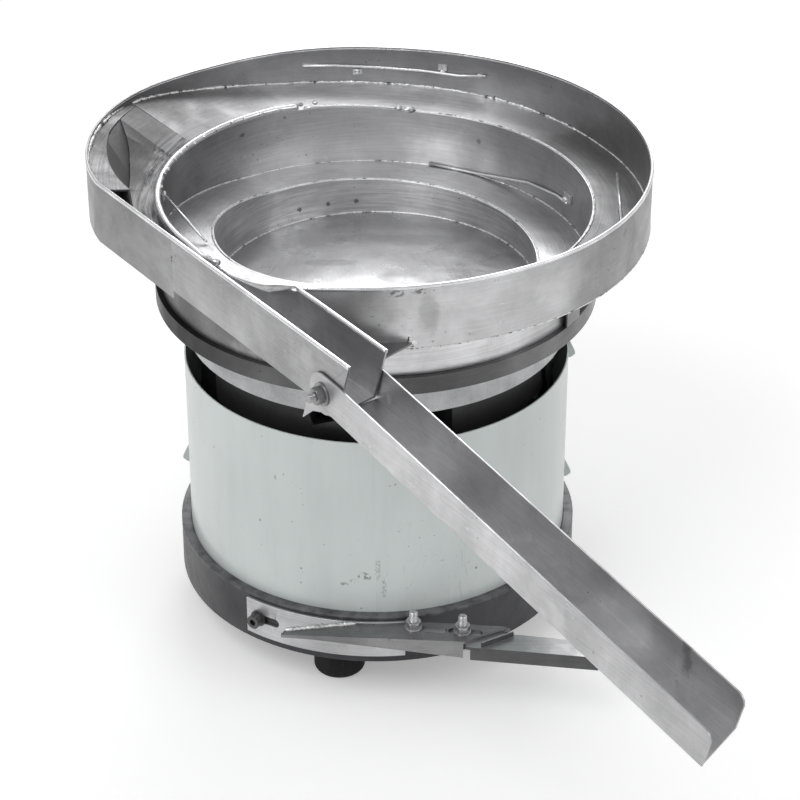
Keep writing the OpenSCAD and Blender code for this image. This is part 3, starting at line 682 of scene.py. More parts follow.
@dataclass(frozen=True)
class CastFinish:
    """Cast or painted metal with a fine sand texture and greasy stains."""

    name: str
    colour: tuple[float, float, float]
    metal: float = 0.0
    rough: float = 0.5
    stain: float = 0.25
    sand: float = 0.4
    worn_above: float | None = None

    def make(self) -> bpy.types.Material:
        """Builds the material.

        Returns:
            The material.
        """
        t = NodeSheet(self.name)
        sand = t.noise(t.place, 650.0, 3.0, 0.6)
        stain = t.noise(t.place, 16.0, 5.0, 0.65, 0.6)
        run = t.noise(t.grain(Grain.AROUND, 0.02, 0.2), 1.0, 4.0, 0.6)
        tone = t.times(t.span(stain, 0.3, 0.7, 1 + self.stain * 0.5, 1 - self.stain),
                       t.span(sand, 0.3, 0.7, 0.93, 1.07), t.span(run, 0.35, 0.7, 1.05, 0.92))
        colour = t.scaled(self.colour, tone)
        if self.worn_above is not None:
            height = t.math("MULTIPLY_ADD", t.noise(t.place, 60.0, 4.0, 0.7), 0.012,
                            t.math("SUBTRACT", t.split(t.place)[2], 0.006))
            worn = t.span(height, self.worn_above - 0.003, self.worn_above + 0.002)
            colour = t.blend(t.times(worn, 0.55), colour, BARE_METAL)
        return t.paint(colour, t.span(stain, 0.3, 0.7, self.rough - 0.08, self.rough + 0.1),
                       t.bump(sand, 0.0003, self.sand, t.bump(stain, 0.002, 0.15)), self.metal)


@dataclass(frozen=True)
class EnamelFinish:
    """Pale enamel on sheet, with specks, scuffs and runs of dirt."""

    name: str
    colour: tuple[float, float, float] = (0.68, 0.735, 0.72)
    rough: float = 0.32
    marks: tuple[Mark, ...] = ()

    def make(self) -> bpy.types.Material:
        """Builds the material.

        Returns:
            The material.
        """
        t = NodeSheet(self.name)
        peel = t.noise(t.place, 240.0, 2.0, 0.5)
        haze = t.noise(t.place, 6.0, 3.0, 0.5, 0.4)
        film = t.noise(t.grain(Grain.AROUND, 0.03, 0.15), 1.0, 4.0, 0.6)
        tone = t.times(t.span(haze, 0.3, 0.7, 0.95, 1.04), t.span(film, 0.4, 0.75, 1.01, 0.95))
        specks = t.times(t.span(t.noise(t.place, 260.0, 1.0), 0.735, 0.76),
                         t.span(t.noise(t.place, 25.0, 2.0), 0.5, 0.6))
        drift = t.noise(t.grain(Grain.PLAIN, 0.02, 0.09), 1.0, 3.0, 0.5, 1.2)
        hairs = t.times(t.lines(drift, 0.004), t.span(haze, 0.52, 0.6))
        share = t.math("MAXIMUM", t.times(specks, 0.7), t.times(hairs, 0.22))
        for mark in self.marks:
            share = t.math("MAXIMUM", share, t.times(t.spot(mark), mark.tone))
        t.shader.inputs["Coat Weight"].default_value = 0.25
        t.shader.inputs["Coat Roughness"].default_value = 0.12
        return t.paint(t.blend(share, t.scaled(self.colour, tone), DIRT),
                       t.span(haze, 0.3, 0.7, self.rough - 0.04, self.rough + 0.12),
                       t.bump(peel, 0.0002, 0.2, t.bump(haze, 0.004, 0.15)))


@dataclass(frozen=True)
class RubberFinish:
    """Black rubber or moulded plastic, dusty on top."""

    name: str
    tone: float = 0.02
    rough: float = 0.6

    def make(self) -> bpy.types.Material:
        """Builds the material.

        Returns:
            The material.
        """
        t = NodeSheet(self.name)
        dust = t.noise(t.place, 45.0, 5.0, 0.7)
        skin = t.noise(t.place, 900.0, 2.0, 0.5)
        colour = t.blend(t.span(dust, 0.45, 0.75, 0.0, 0.35), (self.tone,) * 3, DUST)
        return t.paint(colour, t.span(dust, 0.3, 0.7, self.rough - 0.1, self.rough + 0.15),
                       t.bump(skin, 0.0003, 0.35))


@dataclass(frozen=True)
class WindingFinish:
    """Lacquered copper wire, turn beside turn."""

    name: str = "lacquered_winding"
    pitch: float = 0.0012
    clean: tuple[float, float, float] = (0.42, 0.16, 0.05)
    dull: tuple[float, float, float] = (0.24, 0.09, 0.035)

    def make(self) -> bpy.types.Material:
        """Builds the material.

        Returns:
            The material.
        """
        t = NodeSheet(self.name)
        turns = t.math("SINE", t.times(t.split(t.place)[2], 2 * math.pi / self.pitch))
        tarnish = t.noise(t.place, 60.0, 3.0)
        colour = t.blend(t.span(tarnish, 0.35, 0.7), self.clean, self.dull)
        rough = t.span(tarnish, 0.3, 0.7, 0.3, 0.45)
        return t.paint(colour, rough, t.bump(turns, 0.0004, 0.8), 0.85)


THREAD_STEEL = SteelFinish("thread_steel", 0.45, 0.28, Grain.PLAIN, wave=0.0)


class FinishShelf:
    """Keeps each finish's material, so that it is built once."""

    def __init__(self) -> None:
        """Starts with an empty shelf."""
        self.made: dict[str, bpy.types.Material] = {}

    def take(self, finish: object) -> bpy.types.Material:
        """The material of a finish.

        Args:
            finish: any of the finishes above.

        Returns:
            Its material.
        """
        if finish.name not in self.made:
            self.made[finish.name] = finish.make()
        return self.made[finish.name]


SHELF = FinishShelf()


# ---------------------------------------------------------------- dressing and mesh tools


def dress(finish: object, *names: str, round_edge: float = 0.0004, smooth: float = 32.0) -> None:
    """Gives CAD nodes a finish, smooth shading and softened edges.

    Args:
        finish: finish to use.
        names: CAD nodes.
        round_edge: width of the rounding along sharp edges.
        smooth: angle up to which two faces count as one smooth surface.
    """
    material = SHELF.take(finish)
    for name in names:
        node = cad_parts[name]
        mesh = node.data
        mesh.materials.clear()
        mesh.materials.append(material)
        if "custom_normal" in mesh.attributes:
            mesh.attributes.remove(mesh.attributes["custom_normal"])
        mesh.polygons.foreach_set("use_smooth", [True] * len(mesh.polygons))
        weld = node.modifiers.new("one skin", "WELD")
        weld.merge_threshold = SAME_CORNER
        if round_edge > 0:
            bevel = node.modifiers.new("soft edges", "BEVEL")
            bevel.width, bevel.segments = round_edge, 2
            bevel.limit_method, bevel.angle_limit = "ANGLE", math.radians(smooth)
            bevel.use_clamp_overlap = True
            bevel.harden_normals = True
        LOG.info("dressed %s with %s", name, finish.name)


def finish_piece(name: str, shape: bmesh.types.BMesh, finish: object, body: Body,
                 slot: Slot) -> bpy.types.Object:
    """Turns a finished shape into a smooth piece that rides on a body.

    Args:
        name: name of the piece.
        shape: its faces.
        finish: its finish.
        body: what it rides on.
        slot: finish slot; not used.

    Returns:
        The piece.
    """
    bmesh.ops.recalc_face_normals(shape, faces=shape.faces)
    mesh = bpy.data.meshes.new(name)
    shape.to_mesh(mesh)
    shape.free()
    mesh.polygons.foreach_set("use_smooth", [True] * len(mesh.polygons))
    mesh.materials.append(SHELF.take(finish))
    piece = bpy.data.objects.new(name, mesh)
    bpy.context.scene.collection.objects.link(piece)
    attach(piece, body.value)
    LOG.info("made %s on %s", name, body.value)
    return piece


def resample(points: Sequence[Vector], step: float) -> list[Vector]:
    """Points at even steps along a line of points.

    Args:
        points: corners of the line.
        step: distance between two results.

    Returns:
        The new points, both ends kept.
    """
    lengths = [0.0]
    for a, b in zip(points, points[1:]):
        lengths.append(lengths[-1] + (b - a).length)
    count = max(2, round(lengths[-1] / step))
    result, k = [], 0
    for i in range(count + 1):
        reach = lengths[-1] * i / count
        while k < len(points) - 2 and lengths[k + 1] < reach:
            k += 1
        part = (reach - lengths[k]) / max(1e-9, lengths[k + 1] - lengths[k])
        result.append(points[k].lerp(points[k + 1], min(1.0, part)))
    return result


def ring_of(shape: bmesh.types.BMesh, middle: Vector, across: Vector, rise: Vector,
            radii: Sequence[float]) -> list[bmesh.types.BMVert]:
    """A closed ring of corners.

    Args:
        shape: mesh that the corners go into.
        middle: middle of the ring.
        across: direction of its first corner.
        rise: direction a quarter turn on.
        radii: distance of each corner from the middle.

    Returns:
        The corners in order.
    """
    corners = []
    for k, r in enumerate(radii):
        turn = 2 * math.pi * k / len(radii)
        place = middle + across * (r * math.cos(turn)) + rise * (r * math.sin(turn))
        corners.append(shape.verts.new(place))
    return corners


def stitch(shape: bmesh.types.BMesh, rings: Sequence[Sequence[bmesh.types.BMVert]]) -> None:
    """Joins rings of corners into a tube and closes both ends.

    Args:
        shape: mesh that the faces go into.
        rings: the rings in order.
    """
    sides = len(rings[0])
    for a, b in zip(rings, rings[1:]):
        for k in range(sides):
            shape.faces.new((a[k], a[(k + 1) % sides], b[(k + 1) % sides], b[k]))
    shape.faces.new(list(reversed(rings[0])))
    shape.faces.new(rings[-1])


def sweep(shape: bmesh.types.BMesh, path: Sequence[Vector], size: Callable[[int, float], float],
          sides: int) -> None:
    """Sweeps a round section along a path and closes both ends.

    Args:
        shape: mesh that the faces go into.
        path: middle of the section.
        size: radius at a point of the path and at an angle round it.
        sides: corners of the section.
    """
    up = Vector((0.0, 0.0, 1.0))
    rings = []
    for i, point in enumerate(path):
        ahead = (path[min(i + 1, len(path) - 1)] - path[max(i - 1, 0)]).normalized()
        across = ahead.cross(up).normalized()
        rise = across.cross(ahead).normalized()
        radii = [size(i, 2 * math.pi * k / sides) for k in range(sides)]
        rings.append(ring_of(shape, point, across, rise, radii))
    stitch(shape, rings)


def edge_line(node: str, outer: bool) -> list[Vector]:
    """Upper edge of a spiral sheet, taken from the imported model.

    Args:
        node: name of the sheet.
        outer: its outer edge, or else its inner one.

    Returns:
        Points in order of their angle, in degrees from -90 to 270.
    """
    rings: dict[float, list[Vector]] = {}
    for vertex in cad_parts[node].data.vertices:
        rings.setdefault(round(turn_from(vertex.co, TRACK_START), 1), []).append(vertex.co.copy())
    line = []
    for key in sorted(rings):
        ring = rings[key]
        if len(ring) < 4:
            continue
        radii = [math.hypot(p.x, p.y) for p in ring]
        goal = max(radii) if outer else min(radii)
        near = [p for p, r in zip(ring, radii) if abs(r - goal) < EDGE_BAND]
        line.append(max(near, key=lambda p: p.z))
    return line


def between(line: Sequence[Vector], start: float, end: float) -> tuple[Vector, ...]:
    """The part of a spiral line between two angles, in degrees from -90 to 270."""
    return tuple(p for p in line if start <= turn_from(p, TRACK_START) + TRACK_START <= end)


@dataclass(frozen=True)
class WeldSeam:
    """A weld run along a joint."""

    name: str
    path: tuple[Vector, ...]
    width: float = 0.0016
    lump: float = 0.35
    ripple: float = 0.0022
    gaps: float = 0.0
    seed: float = 1.0
    body: Body = Body.BOWL
    slot: Slot = Slot.STEEL
    finish: object = WeldFinish("clean_weld")

    def make(self) -> bpy.types.Object:
        """Builds the seam as a lumpy run of overlapping ripples.

        Returns:
            The piece.
        """
        path = resample(self.path, SEAM_STEP)

        def size(i: int, turn: float) -> float:
            """Radius of the run.

            Args:
                i: point of its path.
                turn: angle round it.

            Returns:
                The radius.
            """
            p, seed = path[i], self.seed
            slow = noise.noise(Vector((p.x * 60, p.y * 60, p.z * 60 + seed * 7)))
            quick = noise.noise(Vector((p.x * 400 + math.cos(turn), p.y * 400 + math.sin(turn),
                                        seed)))
            ring = 0.12 * math.sin(2 * math.pi * i * SEAM_STEP / self.ripple)
            missed = noise.noise(p * 90 + Vector((seed, 0, 0))) > 0.5 - self.gaps
            thin = 0.25 if self.gaps and missed else 1.0
            ends = min(1.0, 0.35 + 0.22 * min(i, len(path) - 1 - i))
            return self.width / 2 * ends * thin * max(
                0.3, 1 + self.lump * (0.9 * slow + quick) + ring)

        shape = bmesh.new()
        sweep(shape, path, size, 8)
        return finish_piece(self.name, shape, self.finish, self.body, self.slot)


def blob(shape: bmesh.types.BMesh, place: Vector, size: Vector, seed: float) -> None:
    """A lump of weld metal.

    Args:
        shape: mesh that the faces go into.
        place: middle of the lump.
        size: its half sizes.
        seed: which lump it is.
    """
    made = bmesh.ops.create_icosphere(shape, subdivisions=3, radius=1.0)
    for vertex in made["verts"]:
        p = vertex.co.copy()
        swell = 1 + LUMP_ROUGH * noise.noise(p * 1.7 + Vector((seed * 3.1, seed, 0)))
        swell += LUMP_ROUGH * 0.4 * noise.noise(p * 5.0 + Vector((0, seed, 2.0)))
        vertex.co = place + Vector((p.x * size.x, p.y * size.y, p.z * size.z)) * swell


def threaded_rod(shape: bmesh.types.BMesh, foot: Vector, top: Vector, radius: float, pitch: float,
                 plain: float = 0.0) -> None:
    """A rod with a cut thread and a chamfered end.

    Args:
        shape: mesh that the faces go into.
        foot: middle of its lower end.
        top: middle of its upper end.
        radius: outside radius.
        pitch: distance between two turns.
        plain: length without thread at the foot.
    """
    axis = (top - foot).normalized()
    side = axis.orthogonal().normalized()
    other = axis.cross(side)
    length = (top - foot).length
    count = max(24, int(length / pitch * ROD_SECTIONS))
    rings = []
    for i in range(count + 1):
        reach = length * i / count
        widest = radius - max(0.0, THREAD_CHAMFER * pitch - (length - reach))
        radii = []
        for k in range(ROD_SIDES):
            tooth = abs(((reach / pitch + k / ROD_SIDES) % 1.0) * 2 - 1)
            cut = THREAD_DEPTH * pitch * (1 - min(1.0, tooth * THREAD_FLANK))
            radii.append(min(radius - (0.0 if reach < plain else cut), widest))
        rings.append(ring_of(shape, foot + axis * reach, side, other, radii))
    stitch(shape, rings)


# ---------------------------------------------------------------- sub-assemblies


# How a sheet that turns in short facets is smoothed.
FACETED = {"round_edge": 0.0001, "smooth": 60.0}


@dataclass
class Bowl:
    """Spiral bowl: floor, walls, tracks, hemmed rim and weld seams.

    A station of the torn lip is its place along the trough, how far it leans out, and the
    heights of its bend and of its free edge from the rim.
    """

    hem_d: float = 0.0038
    hem_step: float = 0.004
    track_weld_d: float = 0.0036
    tear: float = 0.0018
    tear_from: float = 0.139
    spatter: int = 14
    lip_stations: tuple[tuple[float, float, float, float], ...] = (
        (0.056, 0.0006, -0.0324, -0.0328), (0.072, 0.003, -0.0318, -0.0312),
        (0.096, 0.005, -0.0270, -0.0266), (0.119, 0.007, -0.0206, -0.0214),
        (0.139, 0.008, -0.0124, -0.0170), (0.147, 0.006, -0.0090, -0.0132),
        (0.153, 0.0046, -0.0066, -0.0106), (0.159, 0.003, -0.0046, -0.0078),
        (0.167, 0.0008, -0.0018, -0.0026),
    )

    def build(self) -> None:
        """Dresses the sheets and adds the formed details."""
        self.dress_well()
        self.dress_middle()
        self.dress_outer()
        self.rim_hem()
        self.seams()
        self.upper_weld()
        self.torn_lip()
        self.weld_lumps()

    def dress_well(self) -> None:
        """Gives the floor, the well's wall and the lower track their brushing and wear, and painted light
        and shade.
        """
        # The first two marks are painted shade at the floor's left and right, the fifth a painted
        # highlight in the middle front; the other three are small dark marks.
        floor_marks = tuple(
            Mark(Vector((x, y, 0.334)), size, tone, (wide, deep, 1.0), broken)
            for x, y, size, tone, wide, deep, broken in (
                (-0.085, 0.01, 0.045, -0.22, 0.8, 1.6, 0.0),
                (0.098, 0.0, 0.05, -0.3, 0.7, 1.8, 0.0),
                (-0.045, 0.035, 0.016, -0.35, 1.8, 0.5, 0.0),
                (0.03, 0.085, 0.03, -0.25, 2.4, 0.5, 0.0),
                (0.0, -0.04, 0.06, 0.22, 1.2, 0.9, 0.0),
                (0.022, -0.018, 0.012, -0.5, 1.8, 0.3, 160.0)))
        # The floor's right side is darkened as painted shade.
        dress(SteelFinish("floor_steel", 0.37, 0.30, streak=0.06, cloud=0.22, sides=(1.0, 0.8, 1.0),
                          marks=floor_marks), "bowl_floor")
        # Three small dents, painted as dark spots of shade.
        dimples = tuple(Mark(LAYOUT.round(LAYOUT.well_r, a, 0.3425), 0.0026, -0.95)
                        for a in (120.5, 109, 98))
        # The well wall's left and right are darkened as painted shade.
        dress(SteelFinish("well_wall_steel", 0.86, 0.34, streak=0.2, sides=(0.7, 0.7, 1.0),
                          marks=dimples), "inner_wall")
        # Painted light and shade: the left a little lighter, the right a little darker.
        dress(SteelFinish("lower_track_steel", 0.59, 0.33, streak=0.14, sides=(1.05, 0.95, 1.0)),
              "lower_track")
        dress(SteelFinish("plain_sheet_steel", 0.34, 0.36), "track_riser")
        # The drop wall's dark tone is painted shade.
        dress(SteelFinish("drop_wall_shaded_steel", 0.16, 0.5, metal=0.5), "drop_wall", **FACETED)

    def dress_middle(self) -> None:
        """Gives the middle wall, the upper tracks and the return pan their wear, and the walls and the
        upper track painted light and shade.
        """
        middle = LAYOUT.middle_r
        # The three small marks are dents painted as dark spots of shade; the mark at 178° darkens the
        # wall there; the three wide marks at -158°, -137° and -118° are the trough's painted shadow on
        # the wall's left front.
        dents = (
            Mark(LAYOUT.round(middle, 131, 0.412), 0.003, -0.7, (1.4, 1.4, 0.7)),
            Mark(LAYOUT.round(middle, 117, 0.418), 0.002, -0.6),
            Mark(LAYOUT.round(middle, 60, 0.395), 0.003, -0.6),
            Mark(LAYOUT.round(middle, 178, 0.40), 0.03, -0.3),
            *[Mark(LAYOUT.round(middle, a, 0.385), 0.065, -0.62) for a in (-158, -137, -118)],
        )
        # Painted shade on the left and the right of the middle wall.
        dress(SteelFinish("middle_wall_steel", 0.68, 0.33, sides=(0.36, 0.62, 1.0), marks=dents),
              "middle_wall")
        # The first mark is a painted highlight; the other two darken the track near 136° and 122°.
        glints = (
            Mark(LAYOUT.below(0.225, 52, 0.044), 0.06, 0.5, (1.0, 1.0, 0.6)),
            Mark(LAYOUT.below(0.224, 136, 0.03), 0.075, -0.5),
            Mark(LAYOUT.below(0.224, 122, 0.03), 0.03, -0.3),
        )
        # Painted shade on the left and the right of the upper track.
        dress(SteelFinish("upper_track_steel", 0.60, 0.34, streak=0.16, sides=(0.33, 0.44, 1.0),
                          marks=glints), "upper_track", **FACETED)
        dress(SteelFinish("end_track_steel", 0.17, 0.42, streak=0.3, smudge=0.35, metal=0.7),
              "end_track")
        dress(SteelFinish("return_pan_steel", 0.19, 0.5, streak=0.12, metal=0.45,
                          rub=(0.199, 0.226, 1.2)), "return_pan", **FACETED)

    def dress_outer(self) -> None:
        """Gives the outer wall, its bead, the wires, the seat ring and the tabs their wear, and the outer
        wall and the seat ring painted light and shade.
        """
        outer = LAYOUT.bowl_r
        pits = [Mark(LAYOUT.below(outer + extra, a, drop), size, -0.9, (1.6, 1.0, 0.6), 300.0)
                for a, drop, extra, size in (
                    (-86, 0.0065, 0.002, 0.006), (-81, 0.006, 0.002, 0.005),
                    (-78, 0.0062, 0.001, 0.003), (-66, 0.006, 0.0, 0.002),
                    (-79, 0.054, 0.001, 0.002), (-71, 0.052, 0.001, 0.002))]
        outer_marks = (
            Mark(Vector((0.045, -0.246, 0.432)), 0.016, -0.3, (0.6, 1.0, 1.6)),
            # Painted shadow of the trough on the front of the outer wall.
            Mark(Vector((-0.005, -0.252, 0.44)), 0.026, -0.22, (1.2, 1.0, 1.0)),
            Mark(LAYOUT.round(outer, -93, 0.43), 0.04, -0.3, (1.0, 1.0, 0.8)),
            *[Mark(LAYOUT.below(outer + 0.012, a, 0.03), 0.0045, -0.45, (2.2, 2.2, 0.3))
              for a in (-169, -163, 170)],
            Mark(LAYOUT.round(outer, -28, 0.445), 0.012, -0.3, (1.0, 1.0, 0.8), 90.0),
            Mark(LAYOUT.round(outer, -50, 0.43), 0.03, 0.18, (1.4, 1.0, 0.7)),
            *pits,
        )
        # Painted shade on the left, the right and the back of the outer wall; bare rim edges with a
        # painted highlight.
        dress(SteelFinish("outer_wall_steel", 0.62, 0.34, streak=0.05, cloud=0.16, marks=outer_marks,
                          sides=(0.34, 0.42, 0.44), edge_above=LAYOUT.rim_z), "outer_wall")
        dress(SteelFinish("bead_steel", 0.70, 0.26, streak=0.2, scratch=0.5, pits=0.9), "wall_bead",
              round_edge=0)
        dress(SteelFinish("drawn_wire_steel", 0.80, 0.28, streak=0.05, wave=0.0), "outer_guide_wire",
              "middle_guide_wire", "inner_guide_rail", "track_rod", "cross_rod", round_edge=0)
        dress(WeldFinish("clip_weld"), "wire_clips")
        # Painted light and shade: the seat ring is darkened on the left and lightened on the right.
        dress(SteelFinish("seat_ring_steel", 0.11, 0.38, streak=0.05, cloud=0.25,
                          sides=(0.15, 1.7, 1.0)), "seat_ring")
        dress(SteelFinish("tab_steel", 0.26, 0.34), "hold_down_tabs")

    def rim_hem(self) -> None:
        """Rounded hem along the bowl's rim and on both trough walls."""
        z = LAYOUT.rim_z - self.hem_d / 2
        straight = LAYOUT.straight_s
        inner = [LAYOUT.at(s, LAYOUT.inner_wall_w(s), z)
                 for s in (LAYOUT.corner_s() + 0.004, straight)]
        inner.append(LAYOUT.at(LAYOUT.trough_len - 0.007, LAYOUT.inner_wall_w(straight), z))
        finish = SteelFinish("hem_steel", 0.80, 0.24, streak=0.06, cloud=0.08, smudge=0.25, pits=0.8,
                             wave=0.1)
        for name, path in (("rim_hem", LAYOUT.rim_line(z)), ("trough_hem", inner)):
            points = resample(path, self.hem_step)

            def size(i: int, turn: float, points: list[Vector] = points) -> float:
                """Radius of the hem: thin at the back, full along the front and the trough.

                Args:
                    i: point of its path.
                    turn: angle round it, which changes nothing.
                    points: the path.

                Returns:
                    The radius.
                """
                p = points[i]
                back = min(1.0, max(0.0, (p.y + 0.06) / 0.12))
                return self.hem_d / 2 * (1 - 0.42 * back) * (1 + 0.05 * noise.noise(p * 45))

            shape = bmesh.new()
            sweep(shape, points, size, 12)
            finish_piece(name, shape, finish, Body.BOWL, Slot.STEEL)

    def seams(self) -> None:
        """Thin bright fillets where the tracks and the floor meet the walls."""
        well = LAYOUT.well_r - 0.0003
        floor_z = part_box("bowl_floor")[0].z + LAYOUT.sheet
        floor_line = tuple(LAYOUT.round(well, -90 + 4 * k, floor_z + 0.0002) for k in range(91))
        WeldSeam("floor_seam", floor_line, 0.0019, 0.25, seed=2.0).make()
        lower = [outward(p, -0.0003) for p in edge_line("lower_track", True)]
        WeldSeam("lower_track_seam", between(lower, -86, 214), 0.0019, 0.3, gaps=0.12,
                 seed=3.0).make()
        inner = between(edge_line("lower_track", False), -86, 214)
        WeldSeam("track_edge_seam", inner, 0.0016, 0.2, seed=4.0).make()
        foot = [p + Vector((0.0, 0.0, LAYOUT.foot_z - p.z))
                for p in LAYOUT.rim_line(LAYOUT.rim_z)[1:45]]
        foot = tuple(outward(p, 0.0009) for p in foot)
        WeldSeam("wall_foot_seam", foot, 0.0011, 0.3, gaps=0.08, seed=9.0).make()
        top = between(edge_line("upper_track", False), -84, 82)
        WeldSeam("upper_track_edge", top, 0.0016, 0.2, seed=5.0).make()

    def upper_weld(self) -> None:
        """Rough weld that joins the upper and the end track to the outer wall."""
        upper, end = edge_line("upper_track", True), edge_line("end_track", True)
        WeldSeam("upper_track_seam", between(upper, -84, 62), 0.0018, 0.3, gaps=0.1,
                 seed=6.0).make()
        pitted = WeldFinish("pitted_weld", 0.66, 0.3, 0.85)
        for name, path, lump, seed in (("upper_track_weld", between(upper, 38, 150), 0.75, 7.0),
                                       ("end_track_weld", between(end, 151, 192), 0.8, 8.0)):
            WeldSeam(name, path, self.track_weld_d, lump, 0.005, seed=seed, finish=pitted).make()

    def torn_lip(self) -> None:
        """Flared, torn lip on the trough's inner wall, over the trough."""
        shape = bmesh.new()
        rows = []
        steps = 8
        for k, (first, last) in enumerate(zip(self.lip_stations, self.lip_stations[1:])):
            for i in range(steps + (k == len(self.lip_stations) - 2)):
                s, reach, bend, free = (a + (b - a) * i / steps for a, b in zip(first, last))
                torn = s > self.tear_from
                tear = self.tear * noise.noise(Vector((s * 260, 0.3, 0))) if torn else 0.0
                w = LAYOUT.inner_wall_w(s) - 0.0006
                reach = max(0.0004, reach + tear)
                path = ((0.0, bend - 0.003), (0.0, bend),
                        (reach * 0.5, (bend * 0.6 + free * 0.4) + 0.0004),
                        (reach, free + tear * 0.6))
                rows.append([shape.verts.new(LAYOUT.at(s, w - out, LAYOUT.rim_z + z))
                             for out, z in path])
        for a, b in zip(rows, rows[1:]):
            for k in range(len(a) - 1):
                shape.faces.new((a[k], a[k + 1], b[k + 1], b[k]))
        finish = SteelFinish("torn_lip_steel", 0.66, 0.26, streak=0.15, smudge=0.3, wave=0.6)
        lip = finish_piece("torn_lip", shape, finish, Body.BOWL, Slot.STEEL)
        thick = lip.modifiers.new("sheet", "SOLIDIFY")
        thick.thickness, thick.offset = 0.0008, 0.0
        smooth = lip.modifiers.new("smooth", "SUBSURF")
        smooth.levels = smooth.render_levels = 1

    def weld_lumps(self) -> None:
        """Lumps and spatter where wires, clips, the gusset and the corner are welded."""
        shape = bmesh.new()
        rim, middle, outer = LAYOUT.rim_z, LAYOUT.middle_r, LAYOUT.bowl_r
        corner = LAYOUT.corner_s()
        wall, foot = LAYOUT.inner_wall_w(corner), rim - LAYOUT.trough_depth
        places = (
            (LAYOUT.at(corner - 0.001, wall, rim - 0.0036), (0.005, 0.003, 0.0022)),
            (LAYOUT.at(corner - 0.010, wall, rim - 0.0066), (0.003, 0.003, 0.002)),
            (LAYOUT.below(middle + 0.001, 81, 0.0425), (0.006, 0.003, 0.003)),
            (LAYOUT.below(middle + 0.001, 84, 0.0415), (0.004, 0.003, 0.0025)),
            (LAYOUT.below(outer - 0.003, 75, 0.0215), (0.003, 0.002, 0.0025)),
            (LAYOUT.below(outer - 0.003, 66, 0.0200), (0.003, 0.002, 0.0025)),
            (LAYOUT.below(outer - 0.0005, 94.6, 0.0255), (0.0025, 0.002, 0.003)),
            (LAYOUT.below(middle - 0.002, 24, 0.0825), (0.003, 0.003, 0.003)),
            (LAYOUT.below(middle - 0.002, 175, 0.0470), (0.002, 0.003, 0.003)),
            (LAYOUT.at(0.2230, -0.1150, foot - 0.0035), (0.004, 0.003, 0.004)),
            (LAYOUT.at(0.2215, -0.1165, foot + 0.0005), (0.003, 0.0025, 0.004)),
            (LAYOUT.below(0.222, 217.5, 0.0478), (0.003, 0.003, 0.002)),
        )
        for k, (place, size) in enumerate(places):
            blob(shape, place, Vector(size), k * 1.7 + 1)
        for k in range(self.spatter):
            angle = 108 + 5.5 * k + 3 * noise.noise(Vector((k * 1.3, 0, 0)))
            z = rim - 0.035 + 0.004 + 0.002 * noise.noise(Vector((k * 0.7, 3, 0)))
            blob(shape, LAYOUT.round(middle - 0.0012, angle, z),
                 Vector((0.0025, 0.0022, 0.0018)), k + 40.0)
        finish_piece("weld_lumps", shape, WeldFinish("spatter_weld", 0.68, 0.26, 0.8), Body.BOWL,
                     Slot.STEEL)


@dataclass
class Trough:
    """Exit trough and its gusset."""

    def build(self) -> None:
        """Dresses the trough and adds its seams."""
        rim = LAYOUT.rim_z
        marks = (
            Mark(LAYOUT.at(0.15, -LAYOUT.trough_face, rim - 0.03), 0.03, 0.12),
            Mark(LAYOUT.at(0.245, -LAYOUT.trough_face, rim - 0.02), 0.012, 0.2),
        )
        # The trough's floor and other faces that look up are lightened as painted light; bare rim edges
        # with a painted highlight.
        dress(SteelFinish("trough_steel", 0.39, 0.36, Grain.ALONG, streak=0.08, cloud=0.12, marks=marks,
                          painted_top_light=2.1, edge_above=rim), "exit_trough")
        dress(SteelFinish("gusset_steel", 0.20, 0.36, Grain.ALONG), "trough_gusset")
        face = -LAYOUT.trough_face - 0.0001
        seam = tuple(LAYOUT.at(0.033, face, rim - 0.004 - 0.002 * k) for k in range(28))
        WeldSeam("wall_seam", seam, 0.0016, 0.5, gaps=0.2, seed=11.0,
                 finish=WeldFinish("dark_seam", 0.25, 0.4, 0.9)).make()


